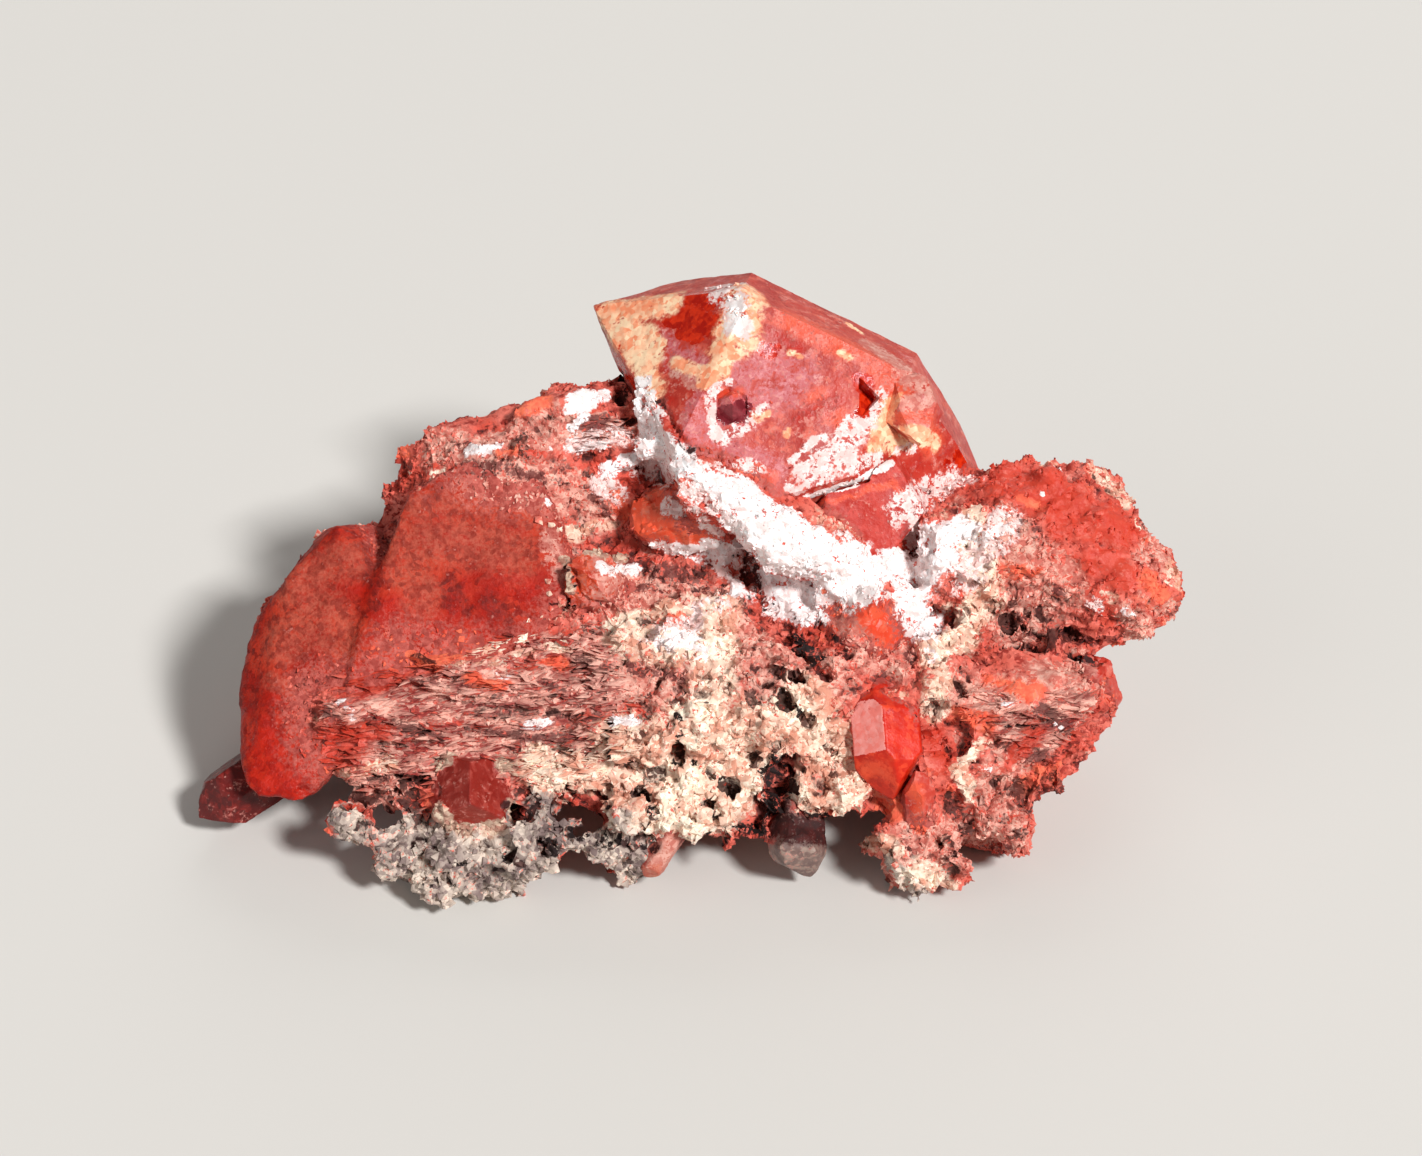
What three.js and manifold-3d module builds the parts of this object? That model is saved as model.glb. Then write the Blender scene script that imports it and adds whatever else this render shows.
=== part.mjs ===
// Hyacinth quartz on matrix: red quartz crystals grown in and on one lump of crusted rock.
// Millimetres, +Z up. The part stands on z = 0, with the middle of its outline over the origin.
// Left and right are along X, and the front, where the crystals show best, faces -Y.
import * as THREE from "three";
import { ConvexGeometry } from "three/addons/geometries/ConvexGeometry.js";
import { mergeVertices } from "three/addons/utils/BufferGeometryUtils.js";
import Module from "manifold-3d";

const wasm = await Module();
wasm.setup();

// ---- Driving dimensions ----
const SEAT_GAP = 0.3; // clearance between a crystal and its socket in the rock
const RHOMB_TILT = THREE.MathUtils.degToRad(51.8); // quartz: c axis to the normal of a tip face
const CUTTER = 200; // side of a block larger than the whole specimen
const GOLDEN_TURN = Math.PI * (3 - Math.sqrt(5));
const WELD = 1e-3; // corners closer than this are one corner
const FLAT = 1e-6; // planes this close to parallel, or corners this close to a plane, count as on it

// ---- Helpers ----
// A repeatable sequence of numbers from 0 to 1.
function dice(seed) {
  let state = seed >>> 0;
  return () => {
    state = (state + 0x6d2b79f5) >>> 0;
    let mixed = Math.imul(state ^ (state >>> 15), 1 | state);
    mixed = (mixed + Math.imul(mixed ^ (mixed >>> 7), 61 | mixed)) ^ mixed;
    return ((mixed ^ (mixed >>> 14)) >>> 0) / 4294967296;
  };
}

function vector(xyz) {
  return new THREE.Vector3(...xyz);
}

// The turn given as degrees about X, then Y, then Z.
function turned([x, y, z]) {
  const radians = [x, y, z].map(THREE.MathUtils.degToRad);
  return new THREE.Quaternion().setFromEuler(new THREE.Euler(...radians, "ZYX"));
}

function solidFrom(geometry) {
  const bare = geometry.clone();
  bare.deleteAttribute("normal");
  bare.deleteAttribute("uv");
  const merged = mergeVertices(bare, WELD);
  return new wasm.Manifold(
    new wasm.Mesh({
      numProp: 3,
      vertProperties: merged.attributes.position.array,
      triVerts: new Uint32Array(merged.index.array),
    }),
  );
}

function geometryFrom(solid) {
  const { vertProperties, triVerts } = solid.getMesh();
  const geometry = new THREE.BufferGeometry();
  geometry.setAttribute("position", new THREE.BufferAttribute(vertProperties, 3));
  geometry.setIndex(new THREE.BufferAttribute(triVerts, 1));
  geometry.computeVertexNormals();
  return geometry;
}

function joined(solids) {
  return solids.reduce((whole, next) => whole.add(next));
}

// The largest body of a solid, without any crumb that a cut has freed.
function largestBody(solid) {
  return solid.decompose().reduce((a, b) => (a.volume() > b.volume() ? a : b));
}

// ---- Rock ----
// An angular lump: the hull of corners spread over an ellipsoid with the given half sizes.
function chunk({ at, half, turn = [0, 0, 0], corners = 26, rough = 0.22, seed = 1 }) {
  const roll = dice(seed * 7919 + corners);
  const spin = turned(turn);
  const points = [];
  for (let i = 0; i < corners; i++) {
    const height = 1 - (2 * (i + 0.5)) / corners;
    const ring = Math.sqrt(1 - height * height);
    const angle = i * GOLDEN_TURN + 0.6 * roll();
    const reach = 1 - rough * roll();
    const point = new THREE.Vector3(Math.cos(angle) * ring, Math.sin(angle) * ring, height);
    point.multiplyScalar(reach).multiply(vector(half));
    points.push(point.applyQuaternion(spin).add(vector(at)));
  }
  return solidFrom(new ConvexGeometry(points));
}

// Lumps seated on a surface wherever a ray from one side meets it, three quarters proud.
function grownOn(base, { from, to, count, size, along, seed, stretch = [1, 1, 1] }) {
  const roll = dice(seed);
  const surface = new THREE.Mesh(geometryFrom(base));
  const direction = vector(along).normalize();
  const lumps = [];
  for (let i = 0; i < count; i++) {
    const start = vector(from.map((low, k) => low + (to[k] - low) * roll()));
    start.addScaledVector(direction, -CUTTER / 2);
    const hit = new THREE.Raycaster(start, direction).intersectObject(surface)[0];
    const radius = size[0] + (size[1] - size[0]) * roll();
    const spin = [roll() * 90, roll() * 90, roll() * 360];
    if (!hit) continue;
    const at = hit.point.addScaledVector(direction, radius * 0.25).toArray();
    const half = stretch.map((share) => share * radius);
    lumps.push(chunk({ at, half, turn: spin, corners: 9, rough: 0.3, seed: seed + i }));
  }
  return lumps;
}

// The large forms, each an angular lump.
const BODY = [
  // the main mass, then the ridge at the top left
  { at: [-2, 0, 9], half: [30, 13, 10.5], turn: [0, 0, 3], corners: 60, seed: 3 },
  { at: [-15, 5.5, 17], half: [12.5, 8, 10], turn: [0, -14, 8], corners: 34, seed: 5 },
  { at: [-9, 7.5, 22], half: [8.5, 6, 6.2], turn: [10, 8, 0], corners: 24, seed: 8 },
  // under the large crystal
  { at: [7, 5, 15], half: [17, 11, 8.5], turn: [0, 10, -8], corners: 34, seed: 9 },
  // the lobe on the right, and the jagged mass under it
  { at: [24.5, 2.5, 16], half: [12, 9, 8], turn: [8, 6, 0], corners: 34, seed: 12 },
  { at: [30, -1, 14.5], half: [7.3, 6.5, 5.5], turn: [0, 0, 20], corners: 24, seed: 15 },
  { at: [19.3, -8.5, 8.5], half: [11.6, 9, 8], turn: [0, 0, 8], corners: 30, seed: 17 },
  { at: [24.6, -4.6, 11.6], half: [3.9, 5, 4], corners: 20, seed: 61 },
  // the front, its lower lip, and the left end
  { at: [1, -9, 10], half: [17, 8, 7], turn: [-20, 0, 0], corners: 36, seed: 21 },
  { at: [1, -13, 6.6], half: [17, 5, 3.8], corners: 30, seed: 19 },
  { at: [-19, -9, 7.5], half: [15.5, 9, 6], turn: [0, 8, 0], corners: 30, seed: 23 },
  { at: [-28, 2, 8], half: [8, 10, 8], corners: 26, seed: 26 },
  // the back
  { at: [4, 11, 9], half: [22, 8, 10], turn: [8, 0, 5], corners: 36, seed: 29 },
];

// What the rock stands on. The cut at z = 0 leaves a flat under each.
const FEET = [
  { at: [-18, -17, 3], half: [7, 4.4, 5], turn: [0, 0, -6], corners: 26, seed: 31 },
  { at: [15.5, -17, 3], half: [4.5, 4.5, 5], corners: 20, seed: 34 },
  { at: [20.5, -13, 3.5], half: [5, 4.5, 5], corners: 20, seed: 36 },
  { at: [-7, -17.6, 3], half: [2.4, 2.2, 4.2], turn: [10, -14, 0], corners: 16, seed: 38 },
  { at: [2, 4, 3], half: [17, 9, 5.5], turn: [0, 0, 8], corners: 34, seed: 39 },
  { at: [-24, 8, 3], half: [5, 5, 5], corners: 20, seed: 41 },
];

// The blade beside the large crystal, then the raised crust round the foot of that crystal.
const CRUST = [
  { at: [-3.9, 3.7, 26], half: [4.4, 0.9, 2.6], turn: [0, 29, -47], rough: 0.1, seed: 51 },
  { at: [0.8, -1.2, 24], half: [5.2, 3.4, 3.2], turn: [-30, 24, 0], corners: 28, seed: 53 },
  { at: [6.4, -3.6, 21], half: [6.5, 3.2, 3.4], turn: [-30, 22, 0], corners: 28, seed: 55 },
  { at: [12, -5, 17], half: [5.5, 2.6, 3], turn: [-30, 12, 0], corners: 28, seed: 56 },
  { at: [17.6, -2, 18.2], half: [2.8, 3, 5], turn: [-30, 0, 0], corners: 24, seed: 57 },
];

// Thin ledges that run along the left of the front, one under the other.
function ledges() {
  const count = 8;
  return Array.from({ length: count }, (_, i) => {
    const down = i / (count - 1);
    return {
      at: [-14 - 3 * down, -9.5 - 6 * down, 13.6 - 6.5 * down],
      half: [10.5 - 1.5 * down, 2.8, 0.75],
      turn: [-14, 10 - 13 * down, -3 + 5 * down],
      corners: 22,
      rough: 0.12,
      seed: 61 + i,
    };
  });
}

// The ragged lower edge of the front: nodules of every size along a line.
const FRINGE_LINE = [
  [-28, -16.5, 6], [-22, -19, 4.6], [-14, -19, 4], [-9, -18.4, 6], [-3, -18.6, 5.4],
  [3, -18, 6.4], [9, -18.4, 5], [14, -19.6, 3.6], [19, -18.4, 3.6], [23.5, -16, 5], [27.5, -12.5, 8],
];
function fringe() {
  const count = 34;
  const roll = dice(83);
  const line = new THREE.CatmullRomCurve3(FRINGE_LINE.map(vector));
  return Array.from({ length: count }, (_, i) => {
    const at = line.getPointAt((i + 0.5) / count);
    const scatter = () => 2 * roll() - 1;
    at.add(new THREE.Vector3(0.6 * scatter(), 1.2 * scatter(), 1.9 * scatter()));
    const radius = 1 + 1.3 * roll();
    return {
      at: at.toArray(),
      half: [radius, radius * 1.2, radius * (1 + 0.7 * roll())],
      turn: [20 * scatter(), 30 * scatter(), 40 * scatter()],
      corners: 11,
      rough: 0.3,
      seed: 90 + i,
    };
  });
}

// Where small nodules crowd on the rock, each patch seen along a ray from outside.
const NODULES = [
  // the cream field at the front
  {
    from: [-13, 0, 2], to: [14, 0, 13], along: [0, 1, -0.4], count: 30, size: [1, 1.8],
    seed: 201, stretch: [1.2, 1, 0.8],
  },
  // the top left
  {
    from: [-24, -2, 0], to: [0, 12, 0], along: [0.1, 0.2, -1], count: 16, size: [1, 2],
    seed: 331, stretch: [1.4, 1, 0.7],
  },
  // the right lobe
  {
    from: [16, -8, 0], to: [36, 10, 0], along: [-0.1, 0.3, -1], count: 18, size: [0.9, 1.7],
    seed: 401,
  },
  // the lower right
  {
    from: [12, 0, 2], to: [30, 0, 13], along: [-0.2, 1, -0.3], count: 16, size: [1, 1.9],
    seed: 461, stretch: [0.8, 1, 1.4],
  },
  // the back
  {
    from: [-30, 0, 4], to: [34, 0, 18], along: [0, -1, -0.3], count: 22, size: [1.3, 2.8],
    seed: 541, stretch: [1.3, 0.8, 1],
  },
];

// Hollows cut into the front.
const CAVES = [
  { at: [5.2, -16.8, 8.3], half: [2.2, 3, 1.2], turn: [0, 20, 0], corners: 18, seed: 601 },
  { at: [10.4, -17.4, 4.6], half: [3, 3.4, 1.7], turn: [0, 8, 0], corners: 18, seed: 603 },
  { at: [4.6, -5.6, 18.4], half: [3.4, 1.6, 0.7], turn: [-30, 40, 0], corners: 16, seed: 605 },
  { at: [-24.9, -5.2, 17.6], half: [0.7, 1.4, 2.6], turn: [-30, 22, 0], corners: 16, seed: 607 },
  { at: [22, -17.4, 6.6], half: [1.2, 2, 1], corners: 14, seed: 609 },
  { at: [26, -9.5, 12.6], half: [6, 2.4, 0.8], turn: [0, 6, 10], corners: 18, seed: 611 },
  { at: [-1.5, -19, 7.6], half: [1.1, 2, 1.4], corners: 14, seed: 613 },
  { at: [-10.4, -18.4, 3], half: [1.6, 3, 2.2], corners: 14, seed: 615 },
  { at: [16.6, -15.8, 12.6], half: [3.2, 4.6, 3.8], turn: [-30, 0, 0], corners: 20, seed: 617 },
];

// ---- Crystals ----
// Where planes, each a normal and its distance from the centre, meet in a closed shape.
function cornersBetween(planes) {
  const corners = [];
  const matrix = new THREE.Matrix3();
  for (let i = 0; i < planes.length; i++) {
    for (let j = i + 1; j < planes.length; j++) {
      for (let k = j + 1; k < planes.length; k++) {
        const three = [planes[i], planes[j], planes[k]];
        matrix.set(...three.flatMap((plane) => plane.normal.toArray()));
        if (Math.abs(matrix.determinant()) < FLAT) continue;
        const corner = vector(three.map((plane) => plane.reach)).applyMatrix3(matrix.invert());
        if (planes.every((p) => p.normal.dot(corner) < p.reach + FLAT)) corners.push(corner);
      }
    }
  }
  return corners;
}

// A quartz crystal: six prism faces along the c axis, and six tip faces at each end.
// sides and tips scale the faces one by one, as growth does. cuts are broken faces.
function quartz(shape, grow = 0) {
  const { at, axis, facing, across, length } = shape;
  const { sides = [1, 1, 1, 1, 1, 1], tips = [1, 1.12, 1, 1.12, 1, 1.12], cuts = [] } = shape;
  const c = vector(axis).normalize();
  const side = vector(facing).addScaledVector(c, -vector(facing).dot(c)).normalize();
  const planes = [];
  for (let i = 0; i < 6; i++) {
    const out = side.clone().applyAxisAngle(c, (i * Math.PI) / 3);
    planes.push({ normal: out, reach: (across / 2) * sides[i] + grow });
    for (const end of [1, -1]) {
      const normal = out.clone().multiplyScalar(Math.sin(RHOMB_TILT));
      normal.addScaledVector(c, end * Math.cos(RHOMB_TILT));
      const reach = (length / 2) * Math.cos(RHOMB_TILT) * tips[(i + (end < 0 ? 1 : 0)) % 6];
      planes.push({ normal, reach: reach + grow });
    }
  }
  for (const { normal, reach } of cuts) {
    planes.push({ normal: vector(normal).normalize(), reach: reach + grow });
  }
  const corners = cornersBetween(planes).map((corner) => corner.add(vector(at)));
  return solidFrom(new ConvexGeometry(corners));
}

// A worn block of crystal: the hull of its corners. To grow it, the corners move straight
// out from the middle, further than the faces need to, because no face is square to its corner.
const CORNER_SHARE = 1.6;
function block({ corners }, grow = 0) {
  const points = corners.map(vector);
  const middle = new THREE.Box3().setFromPoints(points).getCenter(new THREE.Vector3());
  for (const point of points) {
    const out = point.clone().sub(middle).normalize();
    point.addScaledVector(out, grow * CORNER_SHARE);
  }
  return solidFrom(new ConvexGeometry(points));
}

const LARGE_CRYSTAL = {
  at: [6.1, 10, 24.3],
  axis: [-0.9, 0.26, 0.35],
  facing: [0.07, -0.71, 0.7],
  across: 16.6,
  length: 33.5,
  sides: [1, 0.93, 0.5, 0.6, 0.96, 1.4],
  tips: [1, 1, 1, 1.06, 1, 1.5],
  cuts: [{ normal: [-0.92, -0.39, -0.09], reach: 11.6 }],
};
// On the face of the large crystal: a pit with a small crystal in it, a second crystal that
// shows one facet, and a three-cornered notch.
const FACE_PIT = {
  at: [1.5, 2.6, 29.1],
  axis: [0.1, -0.7, 0.7],
  facing: [1, 0, 0],
  across: 3.6,
  length: 3,
};
const PIT_CRYSTAL = {
  at: [1.5, 3.4, 28.3],
  axis: [-0.1, -0.5, 0.8],
  facing: [1, 0, 0],
  across: 2.6,
  length: 4,
};
const FACET_CRYSTAL = {
  at: [14.8, 4.6, 27.6],
  axis: [0.2, -0.9, -0.3],
  facing: [0, 0, 1],
  across: 4.2,
  length: 7,
};
const FACE_NOTCH = {
  corners: [[10.9, 4.5, 30.5], [12.6, 3.4, 29.2], [10.9, 2.2, 28], [12, 4.6, 28.2], [11, 5, 29]],
};
const LOWER_CRYSTAL = {
  at: [11, 3, 20.8],
  axis: [0.2, -0.955, -0.218],
  facing: [0, -0.3, 1],
  across: 9,
  length: 15,
  tips: [1, 1.5, 1, 1.5, 1, 1.5],
};
const PRISM_CRYSTAL = {
  at: [12.9, -12.9, 10.4],
  axis: [0.07, -0.8, -0.6],
  facing: [-0.6, -0.48, 0.64],
  across: 5,
  length: 9.6,
  sides: [1, 1, 1.15, 1, 1, 1],
  tips: [1, 1.15, 1, 1.15, 1, 1.15],
};
const PYRAMID_CRYSTAL = {
  at: [-17.6, -15.2, 7],
  axis: [0.05, -0.8, 0.5],
  facing: [0, -0.6, -0.8],
  across: 5.6,
  length: 10,
  tips: [1, 1.4, 1, 1.4, 1, 1.4],
};
const CORNER_CRYSTAL = {
  at: [-33.6, -9.8, 4],
  axis: [-0.8, -0.5, -0.3],
  facing: [0, -0.5, 0.8],
  across: 4.2,
  length: 12,
};
const SIDE_CRYSTAL = {
  at: [28.9, -7.6, 10.6],
  axis: [0.3, -0.3, -0.8],
  facing: [1, -0.4, 0.1],
  across: 2.7,
  length: 6.4,
};
const LEDGE_CRYSTAL = {
  at: [-8.2, -3.4, 16.6],
  axis: [-0.5, -0.35, 0.75],
  facing: [-0.2, -0.9, 0.2],
  across: 4.4,
  length: 9,
};
const CENTRE_CRYSTAL = {
  at: [-1.8, 0.8, 20.4],
  axis: [0.8, -0.25, 0.5],
  facing: [-0.1, -0.6, 0.8],
  across: 5.6,
  length: 12,
};
const CRUST_CRYSTAL = {
  at: [11, -5.4, 14.4],
  axis: [-0.2, 0.3, -0.9],
  facing: [0, -0.8, 0.5],
  across: 6.4,
  length: 11,
};
const SPIKE_CRYSTAL = {
  at: [15.2, -16.6, 6.8],
  axis: [0.1, -0.2, -0.95],
  facing: [-0.3, -0.9, 0],
  across: 2.2,
  length: 6,
};
const PEBBLE_CRYSTAL = {
  at: [6.4, -17.4, 4.4],
  axis: [0.3, -0.35, -0.9],
  facing: [0, -0.9, 0.2],
  across: 4.2,
  length: 6.6,
};
const SHARD_CRYSTAL = {
  at: [-3.5, -18, 4],
  axis: [-0.5, -0.3, -0.8],
  facing: [0, -0.9, 0.2],
  across: 1.8,
  length: 5.5,
};

// The two blocks of the left crystal grew into each other.
const LEFT_BLOCKS = [
  {
    corners: [
      [-28, 0, 20], [-24.8, -3.6, 18], [-31.5, -3, 17.8], [-34.6, -4, 13.6], [-35.4, -8, 9.6],
      [-35, -12.5, 7], [-34, -15, 6.6], [-30, -15.6, 6], [-25.5, -13, 10.2], [-24, 4, 17],
      [-30, 6, 15], [-33, 3, 7], [-27, -8, 4.6], [-31, -9, 4.8],
    ],
  },
  {
    corners: [
      [-22.6, 0.2, 23], [-18, 2.2, 24.6], [-12.4, 1.8, 23.2], [-9.8, -4.4, 18],
      [-12.6, -7.4, 15.2], [-20, -10.4, 13], [-27, -10.6, 12.8], [-25.4, -5.4, 17.2],
      [-22, 7, 17], [-12, 7, 16], [-24, -2, 7], [-12, -1, 9],
    ],
  },
];

// ---- The specimen ----
const underFloor = new THREE.BoxGeometry(CUTTER, CUTTER, CUTTER).translate(0, 0, -CUTTER / 2);

const crystals = {
  large_crystal: (grow) => {
    const pitted = quartz(LARGE_CRYSTAL, grow).subtract(quartz(FACE_PIT)).subtract(block(FACE_NOTCH));
    return joined([pitted, quartz(PIT_CRYSTAL), quartz(FACET_CRYSTAL)]);
  },
  lower_crystal: (grow) => quartz(LOWER_CRYSTAL, grow),
  left_crystal: (grow) => joined(LEFT_BLOCKS.map((part) => block(part, grow))),
  prism_crystal: (grow) => quartz(PRISM_CRYSTAL, grow),
  pyramid_crystal: (grow) => quartz(PYRAMID_CRYSTAL, grow),
  corner_crystal: (grow) => quartz(CORNER_CRYSTAL, grow),
  side_crystal: (grow) => quartz(SIDE_CRYSTAL, grow),
  ledge_crystal: (grow) => quartz(LEDGE_CRYSTAL, grow),
  centre_crystal: (grow) => quartz(CENTRE_CRYSTAL, grow),
  crust_crystal: (grow) => quartz(CRUST_CRYSTAL, grow),
  spike_crystal: (grow) => quartz(SPIKE_CRYSTAL, grow),
  pebble_crystal: (grow) => quartz(PEBBLE_CRYSTAL, grow),
  shard_crystal: (grow) => quartz(SHARD_CRYSTAL, grow),
};

let rock = joined([...BODY, ...FEET, ...CRUST, ...ledges(), ...fringe()].map(chunk));
rock = joined([rock, ...NODULES.flatMap((patch) => grownOn(rock, patch))]);
for (const cave of CAVES) rock = rock.subtract(chunk(cave));
rock = rock.subtract(solidFrom(underFloor));
for (const grown of Object.values(crystals)) rock = rock.subtract(grown(SEAT_GAP));
rock = largestBody(rock);

const specimen = new THREE.Group();
function addNode(name, solid, look) {
  const mesh = new THREE.Mesh(geometryFrom(solid), new THREE.MeshStandardMaterial(look));
  mesh.name = name;
  specimen.add(mesh);
}
addNode("matrix", rock, { color: "#c97f72", roughness: 0.9 });
const earlier = [];
for (const [name, grown] of Object.entries(crystals)) {
  // Each crystal stops short of the ones that grew before it.
  const left = earlier.reduce((rest, other) => rest.subtract(other(SEAT_GAP)), grown(0));
  addNode(name, largestBody(left), { color: "#c8321f", roughness: 0.25 });
  earlier.push(grown);
}

const outline = new THREE.Box3().setFromObject(specimen);
const middle = outline.getCenter(new THREE.Vector3());
specimen.position.set(-middle.x, -middle.y, -outline.min.z);

export default specimen;
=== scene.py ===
import math
import random

import bmesh
import bpy
import numpy as np
from mathutils import Euler, Matrix, Vector, noise
from mathutils.bvhtree import BVHTree


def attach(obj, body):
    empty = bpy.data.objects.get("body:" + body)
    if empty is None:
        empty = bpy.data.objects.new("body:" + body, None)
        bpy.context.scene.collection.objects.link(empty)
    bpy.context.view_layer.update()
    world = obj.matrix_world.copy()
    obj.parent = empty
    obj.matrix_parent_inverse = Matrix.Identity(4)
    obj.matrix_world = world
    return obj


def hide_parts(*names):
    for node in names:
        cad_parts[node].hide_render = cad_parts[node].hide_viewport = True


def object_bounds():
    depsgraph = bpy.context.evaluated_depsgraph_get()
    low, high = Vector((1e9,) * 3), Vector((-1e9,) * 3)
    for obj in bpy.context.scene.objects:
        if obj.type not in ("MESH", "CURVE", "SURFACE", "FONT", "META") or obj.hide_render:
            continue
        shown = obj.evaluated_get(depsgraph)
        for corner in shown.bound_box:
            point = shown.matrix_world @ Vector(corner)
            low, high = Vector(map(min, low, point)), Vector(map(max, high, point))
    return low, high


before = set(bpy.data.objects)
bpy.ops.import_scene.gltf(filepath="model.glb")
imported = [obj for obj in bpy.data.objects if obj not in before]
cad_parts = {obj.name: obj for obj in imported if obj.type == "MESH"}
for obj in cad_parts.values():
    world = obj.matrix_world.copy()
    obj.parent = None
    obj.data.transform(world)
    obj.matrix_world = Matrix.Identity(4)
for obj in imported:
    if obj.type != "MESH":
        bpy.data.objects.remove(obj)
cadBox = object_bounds()
mm = 0.001
print("frame loaded:", len(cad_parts), "solids")


# An sRGB hex colour as linear red, green, blue and alpha.
def linear(hexColour):
    channels = [int(hexColour[i:i + 2], 16) / 255 for i in (1, 3, 5)]
    return [c / 12.92 if c <= 0.04045 else ((c + 0.055) / 1.055) ** 2.4 for c in channels] + [1]


# A node's input by number, or by name among those in use.
def inputOf(node, name):
    if isinstance(name, int):
        return node.inputs[name]
    return next(entry for entry in node.inputs if entry.enabled and entry.name == name)


# Adds a node. Settings are its properties, or its inputs by name or number. A link comes from an output, or
# from a node, which stands for its first output in use.
def addNode(tree, kind, settings=None, links=None):
    node = tree.nodes.new(kind)
    for name, value in (settings or {}).items():
        if isinstance(name, int) or name in node.inputs:
            inputOf(node, name).default_value = value
        else:
            setattr(node, name, value)
    for name, source in (links or {}).items():
        if isinstance(source, bpy.types.Node):
            source = next(output for output in source.outputs if output.enabled)
        tree.links.new(source, inputOf(node, name))
    return node


def asArray(items, field, width=3):
    values = np.empty(len(items) * width, np.float32)
    items.foreach_get(field, values)
    return values.reshape(-1, width)


def moveTo(mesh, places):
    mesh.vertices.foreach_set("co", places.astype(np.float32).ravel())
    mesh.update()


# Moves each vertex along its normal, by its height in mm.
def raiseBy(mesh, height):
    out = asArray(mesh.vertex_normals, "vector")
    moveTo(mesh, asArray(mesh.vertices, "co") + out * height[:, None] * mm)


def writePaint(mesh, name, values):
    attribute = mesh.attributes.get(name) or mesh.attributes.new(name, "FLOAT", "POINT")
    attribute.data.foreach_set("value", np.asarray(values, np.float32))


def newObject(name, data):
    thing = bpy.data.objects.new(name, data)
    bpy.context.scene.collection.objects.link(thing)
    return thing


def meshOf(bm, name):
    mesh = bpy.data.meshes.new(name)
    bm.to_mesh(mesh)
    bm.free()
    return mesh


# A copy of a solid with its loose triangles joined up.
def copyOf(node, name):
    bm = bmesh.new()
    bm.from_mesh(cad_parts[node].data)
    bmesh.ops.remove_doubles(bm, verts=bm.verts, dist=0.002 * mm)
    bmesh.ops.dissolve_limit(bm, angle_limit=math.radians(1), verts=bm.verts, edges=bm.edges)
    return newObject(name, meshOf(bm, name))


# Adds a modifier, gives it its settings, and applies it.
def shaped(piece, kind, **settings):
    modifier = piece.modifiers.new(kind.lower(), kind)
    for name, value in settings.items():
        setattr(modifier, name, value)
    depsgraph = bpy.context.evaluated_depsgraph_get()
    piece.data = bpy.data.meshes.new_from_object(piece.evaluated_get(depsgraph))
    piece.modifiers.clear()


def joined(name, meshes):
    bm = bmesh.new()
    for mesh in meshes:
        bm.from_mesh(mesh)
    return meshOf(bm, name)


chipKinds = 7
anyTurn = (3.14, 3.14, 3.14)  # radians to either side


# Small chips with uneven corners: rounded ones of twenty triangles, or angular ones of eight.
def chipShapes(name, look):
    dice = random.Random(look["seed"])
    chips = bpy.data.collections.new(name)
    for number in range(chipKinds):
        bm = bmesh.new()
        if look.get("rounded"):
            bmesh.ops.create_icosphere(bm, subdivisions=1, radius=1)
        else:
            bmesh.ops.create_uvsphere(bm, u_segments=4, v_segments=2, radius=1)
        for corner in bm.verts:
            corner.co *= 1 + look["uneven"] * dice.uniform(-1, 1)
        bmesh.ops.scale(bm, vec=look.get("squash", (1, 1, 1)), verts=bm.verts)
        label = f"{name}{number}"
        chips.objects.link(bpy.data.objects.new(label, meshOf(bm, label)))
    return chips


# Chips strewn on a surface: count is how many to a square mm where its "strewn" attribute is 1.
def strewn(surface, name, look):
    tree = bpy.data.node_groups.new(name, "GeometryNodeTree")
    for way in ("INPUT", "OUTPUT"):
        tree.interface.new_socket("Geometry", in_out=way, socket_type="NodeSocketGeometry")
    start = addNode(tree, "NodeGroupInput")
    weight = addNode(tree, "GeometryNodeInputNamedAttribute", {"Name": "strewn"})
    perArea = addNode(tree, "ShaderNodeMath", {
        "operation": "MULTIPLY", 1: look["count"] / mm ** 2,
    }, {0: weight})
    spots = addNode(tree, "GeometryNodeDistributePointsOnFaces", {"Seed": look["seed"]}, {
        "Mesh": start, "Density": perArea,
    })
    chip = addNode(tree, "GeometryNodeCollectionInfo", {
        "Collection": chipShapes(name, look), "Separate Children": True,
    })
    turn, loose = Vector(look.get("turn", (0, 0, 0))), Vector(look.get("loose", anyTurn))
    spin = addNode(tree, "FunctionNodeRandomValue", {
        "data_type": "FLOAT_VECTOR", "Min": turn - loose, "Max": turn + loose, "Seed": look["seed"] + 1,
    })
    size = addNode(tree, "FunctionNodeRandomValue", {
        "Min": look["size"][0] * mm, "Max": look["size"][1] * mm, "Seed": look["seed"] + 2,
    })
    placed = addNode(tree, "GeometryNodeInstanceOnPoints", {"Pick Instance": True}, {
        "Points": spots, "Instance": chip, "Rotation": spin, "Scale": size,
    })
    tint = addNode(tree, "FunctionNodeRandomValue", {"Seed": look["seed"] + 3})
    marked = addNode(tree, "GeometryNodeStoreNamedAttribute", {"domain": "INSTANCE", "Name": "tint"}, {
        "Geometry": placed, "Value": tint,
    })
    whole = addNode(tree, "GeometryNodeRealizeInstances", links={"Geometry": marked})
    addNode(tree, "NodeGroupOutput", links={0: whole})
    piece = newObject(name, surface)
    shaped(piece, "NODES", node_group=tree)
    return piece


# The camera, which also places what is painted on the stone.
view = {
    "width": 1422,
    "height": 1156,
    "lens": 80,
    "sensor": 36,
    "lookAt": (1.2, 2.0, 15),  # mm
    "distance": 239,  # mm
    "elevation": 38,  # degrees above the floor
    "nearest": 0.01,  # metres
    "farthest": 20,  # metres
}


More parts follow.
